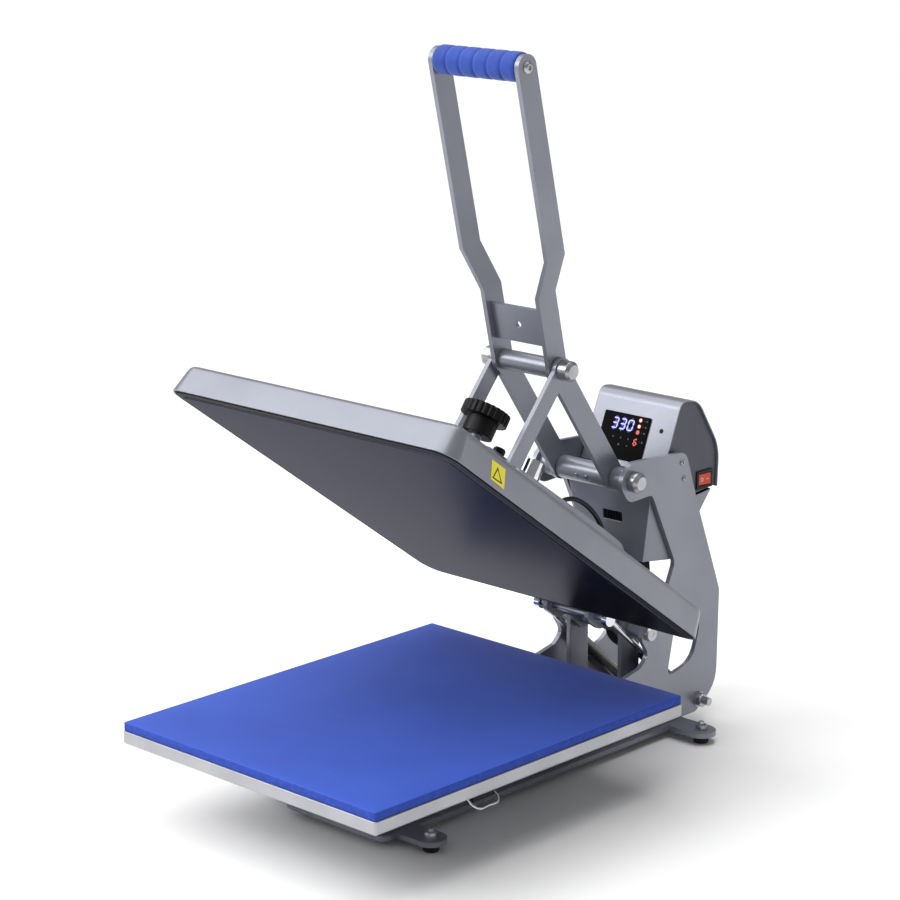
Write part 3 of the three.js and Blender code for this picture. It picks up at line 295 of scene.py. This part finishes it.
def fastener(name, place, direction, profile, material, body):
    """A turned or hexagonal fastener: its profile is rows of (shape, radius, height) in millimetres."""
    turn = Vector((0, 0, 1)).rotation_difference(Vector(direction))
    rings = []
    for shape, radius, height in profile:
        ring = []
        for i in range(48):
            angle = 2 * math.pi * i / 48
            corner = math.cos(angle % (math.pi / 3) - math.pi / 6) if shape == "hex" else 1
            across = radius / corner / 1000
            local = Vector((across * math.cos(angle), across * math.sin(angle), height / 1000))
            ring.append(Vector(place) + turn @ local)
        rings.append(ring)
    return skin(name, rings, material, body, 25)


def nut(flats, height, stud, proud):
    """A washer, a chamfered nut and the stud that stands out of it."""
    half = flats / 2
    return [("round", half * 1.25, 0.1), ("round", half * 1.25, 1.3), ("hex", half, 1.3),
            ("hex", half, height - 1), ("round", half * 0.97, height), ("round", stud, height),
            ("round", stud, height + proud - 0.7), ("round", stud - 0.7, height + proud)]


def cap_screw(radius, height, socket):
    """A cap head with a hexagon socket."""
    return [("round", radius, 0.1), ("round", radius, height - 0.7), ("round", radius - 0.7, height),
            ("hex", socket, height), ("hex", socket, height * 0.4)]


def dome_screw(radius, height, socket):
    """A low domed head with a hexagon socket."""
    return [("round", radius, 0.1), ("round", radius * 0.97, height * 0.35),
            ("round", radius * 0.82, height * 0.7), ("round", radius * 0.6, height),
            ("hex", socket, height), ("hex", socket, height * 0.45)]


# Nitrile rubber: matt black with a dusty bloom.
black_rubber = surface("black_nitrile_rubber", "#18181A", "#0E0E0F", 0, 0.75, 1.2, 0.06)
# Bright zinc plate on turned steel: fine lathe marks that stretch the highlights.
zinc_plate = surface("bright_zinc_plate", "#BDBDC2", "#A6A6AB", 1, 0.33, 1.4, 0.003, blotch_mm=25,
                     spread=0.05)
finish_cad(FEET, black_rubber, 0.5)
for foot in FEET:
    low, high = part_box(foot)
    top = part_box("base_plate")[1].z
    seat = ((low.x + high.x) / 2, (low.y + high.y) / 2, top)
    fastener(f"{foot}_nut", seat, (0, 0, 1), nut(13, 6.5, 3.4, 4), zinc_plate, "root")


# ---- Shafts and spacers of the tower ----
# Turned steel shafts through both side plates. The toggle shaft has a fat head at each end, and the
# tubes between the plates are painted with the frame.
finish_cad(["hinge_shaft", "toggle_shaft", "tie_rod"], zinc_plate, 0.5, 40)
finish_cad(["toggle_spacer_middle", "toggle_spacer_left", "toggle_spacer_right", "hinge_spacer_left",
            "hinge_spacer_right", "hinge_sleeve"], silver_coat, 0.8, 40)
hinge = Vector(joints["platen_lift"]["pos_m"])
toggle = Vector(joints["handle_swing"]["pos_m"])
tie = Vector(joints["gas_cylinder_swing"]["pos_m"])
side_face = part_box("side_plate_right")[1].x
for side, sign in (("left", -1), ("right", 1)):
    out = (sign, 0, 0)
    fastener(f"tie_nut_{side}", (sign * side_face, tie.y, tie.z), out, nut(16, 8, 4.9, 4), zinc_plate, "root")
    hinge_end = (sign * (side_face + 0.006), hinge.y, hinge.z)
    cover_disc = [("round", 9.5, -6), ("round", 9.5, -1.5), ("round", 8.5, 0.4), ("hex", 3, 0.4),
                  ("hex", 3, -3)]
    fastener(f"hinge_cap_{side}", hinge_end, out, cover_disc, zinc_plate, "root")
    for row, (y, z) in enumerate(((0.2865, 0.343), (0.2915, 0.3225))):
        fastener(f"box_screw_{side}_{row}", (sign * side_face, y, z), out, dome_screw(3.6, 2.2, 1.3),
                 zinc_plate, "root")
for count, x in enumerate((-0.006, 0.010)):
    spacer_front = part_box("toggle_spacer_middle")[0].y
    grub = [("round", 2.6, -1), ("round", 2.6, 0.8), ("round", 2.1, 1.1), ("hex", 1.2, 1.1),
            ("hex", 1.2, 0.2)]
    fastener(f"spacer_grub_{count}", (x, spacer_front + 0.0004, toggle.z - 0.003), (0, -1, -0.2), grub,
             zinc_plate, "root")


# ---- Cradle and lower platen ----
# The platen is a milled aluminium casting that bolts to a grey steel cradle between the side plates.
# Grey powder coat, darker than the frame's coat: its tone is partly a darker paint and partly painted shade,
# set to the shaded tone of the silver coat.
grey_coat_and_shade = surface("grey_powder_coat", "#52545E", "#494B55", 0.35, 0.42, PAINT_GRAIN_MM, 0.014,
                    blotch_mm=120)
# Bead-blasted aluminium casting: soft pale grey with a fine even grain.
blasted_aluminium = surface("blasted_aluminium", "#BCBDC1", "#ABACB0", 0.8, 0.42, 0.8, 0.02, blotch_mm=90)
# The cradle's grey coat is partly its paint and partly painted shade.
finish_cad(["platen_cradle"], grey_coat_and_shade)
finish_cad(["lower_platen"], blasted_aluminium, 0.8, 25)


# ---- Silicone pad ----
# Expanded silicone sponge, cut from sheet: a closed smooth face on top and open cells along its cut
# sides. It is glued to the platen and its top edge is a little rounded by use.
PAD_CORNER = 0.003
PAD_EDGE_ROUND = 0.0016
PAD_CROWN = 0.0002


def rounded_ring(low, high, inset, corner, z, steps=8):
    """A rounded rectangle inside a box seen from above, drawn inwards by an inset."""
    radius = max(corner - inset, 0.0004)
    ring = []
    corners = [(high.x, high.y, 0), (low.x, high.y, 1), (low.x, low.y, 2), (high.x, low.y, 3)]
    for x, y, quarter in corners:
        cx = x + (-1 if quarter in (0, 3) else 1) * (inset + radius)
        cy = y + (-1 if quarter in (0, 1) else 1) * (inset + radius)
        for i in range(steps + 1):
            angle = (quarter + i / steps) * math.pi / 2
            ring.append(Vector((cx + radius * math.cos(angle), cy + radius * math.sin(angle), z)))
    return ring


# Silicone sponge: royal blue and matt; the moulded face has a faint pebble, the cut sides show cells.
silicone_top = surface("silicone_sponge_face", "#2C57C9", "#264EBD", 0, 0.62, 1.4, 0.03, blotch_mm=160,
                       shader={"Sheen Weight": 0.15, "Sheen Roughness": 0.5})
silicone_side = surface("silicone_sponge_cut", "#264BB8", "#1F40A4", 0, 0.8, 1.1, 0.08, blotch_mm=8)
cells = silicone_side.node_tree
cell_place = add_node(cells, "TexCoord").outputs["Object"]
cell_size = add_node(cells, "TexVoronoi", {"Scale": 1000 / 1.7, "Randomness": 1.0}, {"Vector": cell_place})
cell_wall = add_node(cells, "MapRange", {"From Min": 0.12, "From Max": 0.5},
                     {"Value": cell_size.outputs["Distance"]})
cell_dip = add_node(cells, "Bump", {"Strength": 0.9, "Distance": 0.0006, "invert": True},
                    {"Height": cell_wall.outputs["Result"]})
cells.links.new(cell_dip.outputs["Normal"], cells.nodes["Principled BSDF"].inputs["Normal"])
low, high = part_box("silicone_pad")
pad_rings = [rounded_ring(low, high, 0.0006, PAD_CORNER, low.z),
             rounded_ring(low, high, 0, PAD_CORNER, low.z + 0.0012),
             rounded_ring(low, high, 0, PAD_CORNER, high.z - PAD_EDGE_ROUND - PAD_CROWN)]
for i in range(1, 5):
    bend = i / 4 * math.pi / 2
    pad_rings.append(rounded_ring(low, high, PAD_EDGE_ROUND * (1 - math.cos(bend)), PAD_CORNER,
                                  high.z - PAD_CROWN - PAD_EDGE_ROUND * (1 - math.sin(bend))))
pad_rings.append(rounded_ring(low, high, 0.03, 0.03 + PAD_CORNER, high.z))
pad = skin("silicone_sponge_pad", pad_rings, silicone_top, "root", 60)
pad.data.materials.append(silicone_side)
for face in pad.data.polygons:
    face.material_index = 0 if abs(face.normal.z) > 0.6 else 1
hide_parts("silicone_pad")


# ---- Catch under the lower platen ----
# A moulded block with a chromed wire bail that clips an accessory to the platen's edge.
# Glass-filled nylon: black, with a fine spark-eroded texture.
black_nylon = surface("black_nylon", "#131316", "#0C0C0E", 0, 0.42, 0.9, 0.02,
                      shader={"Specular IOR Level": 0.2})
# Decorative chrome: mirror bright with a slight haze.
chrome_plate = surface("chrome_plate", "#E2E4E8", "#D4D6DA", 1, 0.09, 3.0, 0.004, spread=0.03)
finish_cad(["catch_body"], black_nylon, 0.6)
finish_cad(["catch_bail"], chrome_plate, 0.2, 60)


# ---- Gas springs ----
# Black-painted cylinders on the tie rod with ground and chromed rods, between posts and side plates.
# Gloss stove enamel on a drawn tube.
black_enamel = surface("black_stove_enamel", "#1C1C1E", "#121214", 0.1, 0.24, 2.5, 0.008,
                       shader={"Coat Weight": 0.5, "Coat Roughness": 0.1})
finish_cad(["gas_body_left", "gas_body_right"], black_enamel, 0.5, 40)
finish_cad(["gas_rod_left", "gas_rod_right"], chrome_plate, 0.4, 40)
finish_cad(["gas_pin"], zinc_plate, 0.5, 40)


# ---- Upper platen ----
# The heating platen is an aluminium casting with its element cast in. It hangs in a drawn steel cover,
# and the black band round it is painted shade: it stands in for the shadowed gap between the cover's
# rim and the platen. Places are given forward and up from the cover's rear bottom edge, as the cover
# lies on its hinge.
HINGE_BEHIND_COVER = 0.097
HINGE_ABOVE_RIM = 0.015
open_angle = math.radians(joints["platen_lift"]["range_deg"][1])
on_hinge = Matrix.Translation(hinge) @ Matrix.Rotation(-open_angle, 4, "X")


def on_platen(x, forward, up):
    """A point of the open upper platen, from millimetres across, forward and up."""
    return on_hinge @ Vector((x / 1000, -HINGE_BEHIND_COVER - forward / 1000, up / 1000 - HINGE_ABOVE_RIM))


platen_up = (on_platen(0, 0, 1000) - on_platen(0, 0, 0)).normalized()
# Hard-coated aluminium: a smooth grey face that mirrors the pad softly.
hard_coat = surface("hard_coated_aluminium", "#43434C", "#3C3C45", 0.85, 0.24, 1.2, 0.003, blotch_mm=200,
                    spread=0.03, shader={"Specular Tint": linear("#8C8C96")})
finish_cad(["platen_cover"], silver_coat, 0.8, 24)
finish_cad(["heating_platen"], hard_coat, 0.6, 24)
# The gasket band is painted shade: the feet's dull black rubber on a flat band that stands in for the
# shadowed gap round the heating platen.
finish_cad(["edge_gasket"], black_rubber, 0.4, 40)
finish_cad(["lift_arm_left", "lift_arm_right", "screw_bridge", "magnet_bridge"], silver_coat)
finish_cad(["link_pin"], zinc_plate, 0.5, 40)
gland = [("round", 6.5, -1), ("round", 6.5, 2), ("round", 5.5, 3), ("round", 4.2, 6.5), ("round", 3.6, 9),
         ("round", 3.2, 9)]
fastener("cable_gland", on_platen(8, 105, 36), platen_up, gland, black_rubber, "upper_platen")


# ---- Hazard label ----
# A small vinyl label on the cover's right side: a plain black triangle on yellow, with no wording.
LABEL_CORNERS = [(445, 25.2), (419.5, 25.4), (413.5, 5.2), (439, 6.2)]


def cover_side(forward, up, lift=0.00025):
    """A point on the cover's right side, which leans in a little towards its top."""
    lean = 5.5 / 27
    x = 218 - lean * up + lift * 1000
    return on_platen(x, forward, up)


def label_sheet(name, corners, lift, material):
    """A thin sheet over a flat outline on the cover's side."""
    front = [cover_side(forward, up, lift) for forward, up in corners]
    back = [cover_side(forward, up, lift - 0.00015) for forward, up in corners]
    return skin(name, [back, front], material, "upper_platen")


# Calendered vinyl: flat, saturated yellow with a satin film over it.
yellow_vinyl = surface("yellow_vinyl", "#F7EC2E", "#EFE024", 0, 0.35, 3.0, 0.005)
black_ink = surface("black_label_ink", "#1B1B18", "#141412", 0, 0.5, 3.0, 0.005)
label_sheet("hazard_label", LABEL_CORNERS, 0.0003, yellow_vinyl)
triangle = [(432.6, 22.2), (418.8, 8.8), (437.2, 8.2)]
centre = (sum(p[0] for p in triangle) / 3, sum(p[1] for p in triangle) / 3)
for i in range(3):
    a, b = triangle[i], triangle[(i + 1) % 3]
    inner = [tuple(c + (v - c) * 0.72 for v, c in zip(p, centre)) for p in (b, a)]
    label_sheet(f"hazard_triangle_{i}", [a, b, *inner], 0.00045, black_ink)


# ---- Electromagnet and pressure screw ----
# The magnet's turned steel can is chromed. The screw has a rolled thread and runs through the bridge
# between the lift arms; its fluted knob is moulded.
SCREW_RADIUS = 0.007
SCREW_PITCH = 0.002
SCREW_DEPTH = 0.0009
finish_cad(["electromagnet"], chrome_plate, 0.8, 30)
finish_cad(["pressure_knob"], black_nylon, 0.7, 25)
screw_foot = on_platen(0, 250, 37)
screw_side, screw_back = Vector((1, 0, 0)), platen_up.cross(Vector((1, 0, 0)))
thread_rings = []
THREAD_TURNS = 40
for i in range(THREAD_TURNS * 6 + 1):
    along = i * SCREW_PITCH / 6
    ring = []
    for k in range(40):
        angle = 2 * math.pi * k / 40
        phase = (along / SCREW_PITCH - k / 40) % 1
        end = min(along, THREAD_TURNS * SCREW_PITCH - along)
        radius = SCREW_RADIUS - SCREW_DEPTH * abs(2 * phase - 1) - max(0, 0.001 - end)
        ring.append(screw_foot + along * platen_up
                    + radius * (math.cos(angle) * screw_side + math.sin(angle) * screw_back))
    thread_rings.append(ring)
pressure_thread = skin("pressure_screw_thread", thread_rings, zinc_plate, "pressure_screw", 80)
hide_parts("pressure_screw")
lock_nut = [("round", 11, 0), ("hex", 11, 0.2), ("hex", 11, 7), ("round", 10.6, 8), ("round", 8, 8)]
fastener("screw_lock_nut", on_platen(0, 250, 74.1), platen_up, lock_nut, zinc_plate, "upper_platen")
thumb = [("round", 2.5, 0), ("round", 2.5, 5), ("round", 6.5, 5), ("round", 7.5, 6), ("round", 7.5, 10),
         ("round", 6, 12)]
fastener("thumb_screw", on_platen(0, 203, 99), platen_up, thumb, black_nylon, "upper_platen")
stop_outline = ((-29.6, 196), (29.6, 196), (29.6, 212), (-29.6, 212))
stop_bar = [on_platen(x, forward, up) for up in (88, 98) for x, forward in stop_outline]
skin("thumb_bridge", [stop_bar[:4], stop_bar[4:]], silver_coat, "upper_platen")


# ---- Handle ----
# Two flat steel bars cranked outwards above the cross plate, bolted to the grip tube at the top.
finish_cad(["handle_bar_left", "handle_bar_right", "cross_plate", "knee_tube"], silver_coat)
grip_low, grip_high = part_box("grip_foam")
grip_middle = (grip_low + grip_high) / 2
for side, sign in (("left", -1), ("right", 1)):
    bar_face = abs(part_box(f"handle_bar_{side}")[0 if sign < 0 else 1].x)
    fastener(f"grip_bolt_{side}", (sign * bar_face, grip_middle.y, grip_middle.z), (sign, 0, 0),
             dome_screw(7, 3.6, 2.6), zinc_plate, "handle")


# ---- Grip foam ----
# Closed-cell NBR foam turned into six soft rings with a groove between each two, pushed on the tube.
RINGS = 6
GRIP_RADIUS = 0.017
GROOVE_DEPTH = 0.0019
# NBR foam: bright blue and matt, with fine cells and a soft bloom.
blue_nbr = surface("blue_nbr_foam", "#2049AE", "#1A3F9A", 0, 0.72, 0.9, 0.12, blotch_mm=14,
                   shader={"Sheen Weight": 0.35, "Sheen Roughness": 0.4})
grip_rings = []
ring_length = (grip_high.x - grip_low.x) / RINGS
for ring_number in range(RINGS):
    for i in range(13):
        across = -1 + 2 * i / 12
        swell = (1 - abs(across) ** 7) * GROOVE_DEPTH
        x = grip_low.x + (ring_number + 0.5 + across / 2 * 0.995) * ring_length
        radius = GRIP_RADIUS - GROOVE_DEPTH + swell - 0.0001
        grip_rings.append([Vector((x, grip_middle.y + radius * math.cos(2 * math.pi * k / 56),
                                   grip_middle.z + radius * math.sin(2 * math.pi * k / 56)))
                           for k in range(56)])
grip = skin("grip_foam_rings", grip_rings, blue_nbr, "handle", 85)
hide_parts("grip_foam")
finish_cad(["grip_tube"], zinc_plate, 0.5, 40)


# ---- Front links and knee shaft ----
# Flat links from the knee down to the lift arms, with turned heads on the knee shaft.
finish_cad(["front_link_left", "front_link_right"], silver_coat)
finish_cad(["knee_shaft"], zinc_plate, 0.5, 40)
pin_height = on_platen(0, 227, 80)
link_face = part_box("front_link_right")[1].x
for side, sign in (("left", -1), ("right", 1)):
    fastener(f"link_bolt_{side}", (sign * link_face, pin_height.y, pin_height.z), (sign, 0, 0),
             cap_screw(6.5, 6, 2.5), zinc_plate, "front_links")


# ---- Control box ----
# A folded sheet wrap over two darker end panels, with a tray under it, held between the side plates. The end
# panels' dark grey is partly their paint and partly painted shade.
finish_cad(["control_box_wrap", "control_box_tray", "shroud"], silver_coat, 0.5, 30)
# The end panels' grey coat is partly a darker paint and partly painted shade.
finish_cad(["control_box_end_left", "control_box_end_right"], grey_coat_and_shade, 0.4)
# Fibreglass board: green solder mask.
board_green = surface("green_solder_mask", "#1F6A3C", "#17552F", 0, 0.4, 2.0, 0.01)
finish_cad(["control_board"], board_green, 0.2)


# ---- Display ----
# A black acrylic window on the sloping front, with seven-segment lamps behind it and three signal
# lamps beside them. The membrane keys show as faint rings.
box_foot = hinge + Vector((0, 0.030, 0.190))
box_top = hinge + Vector((0, 0.065, 0.276))
face_up = (box_top - box_foot).normalized()
face_out = Vector((1, 0, 0)).cross(face_up)
DISPLAY_MIDDLE_X = -0.0085
DISPLAY_MIDDLE_UP = 0.036
DISPLAY_FACE = 0.0019
SEGMENTS = {"0": "abcdef", "3": "abcdg", "6": "acdefg"}


def on_display(x, up, out):
    """A point on the display, in metres from its middle."""
    return (box_foot + Vector((DISPLAY_MIDDLE_X + x, 0, 0)) + (DISPLAY_MIDDLE_UP + up) * face_up
            + (DISPLAY_FACE + out) * face_out)


def glow(name, colour, strength):
    """A lamp behind the window: an even glow in a dark diffusing plastic."""
    return surface(name, "#141418", "#0C0C10", 0, 0.3, 2.0, 0.002,
                   shader={"Emission Color": linear(colour), "Emission Strength": strength})


def digit(name, number, x, up, width, height, stroke, lift, material, slant=0.1):
    """The lit bars of one digit, each a pointed bar in a thin skin."""
    half_w, half_h = width / 2, height / 2
    bars = {"a": ((-half_w, half_h), (half_w, half_h)), "g": ((-half_w, 0), (half_w, 0)),
            "d": ((-half_w, -half_h), (half_w, -half_h)), "f": ((-half_w, 0), (-half_w, half_h)),
            "e": ((-half_w, -half_h), (-half_w, 0)), "b": ((half_w, 0), (half_w, half_h)),
            "c": ((half_w, -half_h), (half_w, 0))}
    for letter in SEGMENTS[number]:
        (ax, ay), (bx, by) = bars[letter]
        along = Vector((bx - ax, by - ay)).normalized()
        across = Vector((-along.y, along.x)) * stroke / 2
        a, b = Vector((ax, ay)) + along * stroke * 0.12, Vector((bx, by)) - along * stroke * 0.12
        near, far = along * stroke / 2, along * stroke / 2
        outline = [a, a + near + across, b - far + across, b, b - far - across, a + near - across]
        rings = [[on_display(x + p.x + slant * p.y, up + p.y, out) for p in outline]
                 for out in (lift - 0.0003, lift)]
        skin(f"{name}_{letter}", rings, material, "root")


def disc(name, x, up, radius, lift, material):
    """A small flat lamp or key on the display."""
    outline = [(x + radius * math.cos(k * math.pi / 12), up + radius * math.sin(k * math.pi / 12))
               for k in range(24)]
    rings = [[on_display(*point, out) for point in outline] for out in (lift - 0.0003, lift)]
    skin(name, rings, material, "root")


# Cast acrylic: glossy black over the lamps.
black_acrylic = surface("black_acrylic", "#0B0B0C", "#070708", 0, 0.3, 4.0, 0.002, spread=0.03,
                        shader={"Specular IOR Level": 0.02})
finish_cad(["display_panel"], black_acrylic, 0.3)
blue_lamp = glow("blue_lamp_edge", "#1412E8", 1.0)
white_lamp = glow("blue_lamp_core", "#C9CFFF", 1.2)
for count, (number, x) in enumerate((("3", -0.0160), ("3", -0.0040), ("0", 0.0080))):
    digit(f"reading_glow_{count}", number, x, 0.0150, 0.0074, 0.0124, 0.0052, 0.0001, blue_lamp)
    digit(f"reading_{count}", number, x, 0.0150, 0.0074, 0.0124, 0.0014, 0.0002, white_lamp)
warm_lamp = glow("warm_lamp", "#FFE9DC", 1.3)
red_lamp = glow("red_lamp", "#E8321C", 1.0)
for count, (up, lamp) in enumerate(((0.0235, warm_lamp), (0.0158, warm_lamp), (0.0084, red_lamp))):
    disc(f"signal_rim_{count}", 0.0213, up, 0.0027, 0.0001, red_lamp)
    disc(f"signal_{count}", 0.0213, up, 0.0018, 0.0002, lamp)
digit("timer", "6", 0.0212, -0.0040, 0.0042, 0.0074, 0.0019, 0.0001, red_lamp)
# Screened ink marks on the membrane keys, a dim grey.
key_ink = surface("grey_key_ink", "#3E3E42", "#303034", 0, 0.5, 2.0, 0.004)
for count, x in enumerate((-0.014, -0.002, 0.0095)):
    disc(f"key_mark_{count}", x, -0.0020, 0.0011, 0.0001, key_ink)
for count, (x, radius) in enumerate(((-0.0030, 0.0015), (0.0100, 0.0010))):
    disc(f"key_bar_{count}", x, -0.0105, radius, 0.0001, key_ink)
for count, up in enumerate((0.0235, 0.0158, 0.0084, -0.0029)):
    disc(f"row_mark_{count}", 0.0275, up, 0.0006, 0.0001, key_ink)
    disc(f"row_sign_{count}", 0.0315, up, 0.0013, 0.0001, key_ink)
hole_place = box_foot + Vector((0.046, 0, 0)) + 0.052 * face_up
hole = [("round", 2.9, -0.2), ("round", 2.9, 0.25), ("round", 2.2, 0.3), ("round", 2.0, 0.1),
        ("round", 1.0, 0.05)]
fastener("box_blind_plug", hole_place, face_out, hole, black_nylon, "root")


# ---- Power switch and inlet ----
# A lit rocker in a moulded bezel on the right end panel, and the mains inlet on the left one.
ROCKER_TILT = math.radians(-7)
# Translucent polycarbonate, lit from inside: a warm orange red.
red_rocker = surface("red_polycarbonate", "#D03A0C", "#C43208", 0, 0.3, 3.0, 0.004,
                     shader={"Emission Color": linear("#C83000"), "Emission Strength": 0.08})
white_ink = surface("white_switch_ink", "#E9E4E0", "#D8D2CE", 0, 0.45, 2.0, 0.004)
finish_cad(["switch_bezel", "power_inlet"], black_nylon, 0.4)
finish_cad(["power_rocker"], red_rocker, 0.4, 30)
rocker_pivot = Vector(joints["rocker_tilt"]["pos_m"])
rocker_turn = Matrix.Translation(rocker_pivot) @ Matrix.Rotation(ROCKER_TILT, 4, "Z")


def on_rocker(y, z, out):
    """A point just off the rocker's face, in millimetres from its middle."""
    return rocker_turn @ Vector(((1.0 + out) / 1000, y / 1000, z / 1000))


RING_OUT, RING_IN = 2.4, 1.6
ring_section = ((RING_OUT, -0.5), (RING_OUT, 0.25), (RING_IN, 0.25), (RING_IN, -0.5))
ring_points = [on_rocker(-4.6 + r * math.cos(k * math.pi / 16), r * math.sin(k * math.pi / 16), out)
               for r, out in ring_section for k in range(32)]
ring_faces = [(a * 32 + k, a * 32 + (k + 1) % 32, (a + 1) % 4 * 32 + (k + 1) % 32, (a + 1) % 4 * 32 + k)
              for a in range(4) for k in range(32)]
piece("rocker_off_mark", ring_points, ring_faces, white_ink, "power_rocker")
bar_outline = ((3.2, -0.4), (6.6, -0.4), (6.6, 0.4), (3.2, 0.4))
bar_rings = [[on_rocker(y, z, out) for y, z in bar_outline] for out in (-0.5, 0.3)]
skin("rocker_on_mark", bar_rings, white_ink, "power_rocker")


# ---- Vent in the shroud ----
# A moulded black grille pushed into the window from behind. The solid black block behind its slats is painted
# shade: a dark sheet standing in for the shade inside the window.
vent_low, vent_high = Vector((-0.0112, 0.2365, 0.2682)), Vector((0.0182, 0.2385, 0.2796))
SHROUD_LEAN = 0.089
SLATS = 7
SLAT_HALF = 0.0006


def slat(name, x0, x1, z0, z1, depth):
    """An upright block that follows the shroud's leaning front."""
    front = lambda z: hinge.y + 0.0075 + (hinge.z + 0.171 - z) * SHROUD_LEAN + depth
    ring = lambda back: [Vector((x, front(z) + back, z)) for x, z in ((x0, z0), (x1, z0), (x1, z1), (x0, z1))]
    skin(name, [ring(0), ring(0.0012)], black_nylon, "root")


# Painted shade: a solid black block behind the slats, filling the window where there is only shade.
slat("vent_back", vent_low.x - 0.002, vent_high.x + 0.002, vent_low.z - 0.002, vent_high.z + 0.002, 0.0016)
for i in range(SLATS):
    x = vent_low.x + (i + 0.5) * (vent_high.x - vent_low.x) / SLATS
    slat(f"vent_slat_{i}", x - SLAT_HALF, x + SLAT_HALF, vent_low.z, vent_high.z, 0.0002)


# ---- Floor and studio light ----
# A pale seamless floor under one very broad soft light from above and the left, with soft boxes for
# the highlights and an even, weaker surround.
bpy.ops.mesh.primitive_plane_add(size=120)
floor = bpy.context.object
floor.name = "studio_floor"
# Matt white paper: nearly white with a trace of tone.
paper = surface("white_paper", "#FBFBFB", "#F8F8F8", 0, 0.9, 6.0, 0.01, blotch_mm=900)
floor.data.materials.append(paper)

world = bpy.data.worlds.new("studio")
world.use_nodes = True
world.node_tree.nodes["Background"].inputs["Color"].default_value = (1.0, 1.0, 1.0, 1.0)
world.node_tree.nodes["Background"].inputs["Strength"].default_value = 0.26
bpy.context.scene.world = world
bpy.context.scene.view_settings.view_transform = "Standard"


def studio_light(name, kind, place, target, power, **settings):
    """A light that faces a point."""
    data = bpy.data.lights.new(name, kind)
    data.energy = power
    for setting, value in settings.items():
        setattr(data, setting, value)
    lamp = bpy.data.objects.new(name, data)
    lamp.location = place
    lamp.rotation_euler = (Vector(target) - Vector(place)).to_track_quat("-Z", "Y").to_euler()
    bpy.context.scene.collection.objects.link(lamp)


studio_light("overhead_light", "SUN", (-1.1, -1.3, 4), (0, 0, 0.3), 2.9, angle=math.radians(85))
studio_light("key_light", "AREA", (-1.9, -2.4, 2.2), (0, 0, 0.4), 42, size=1.6)
studio_light("top_light", "AREA", (0.2, 0.8, 3.0), (0, 0, 0.3), 12, size=1.6)
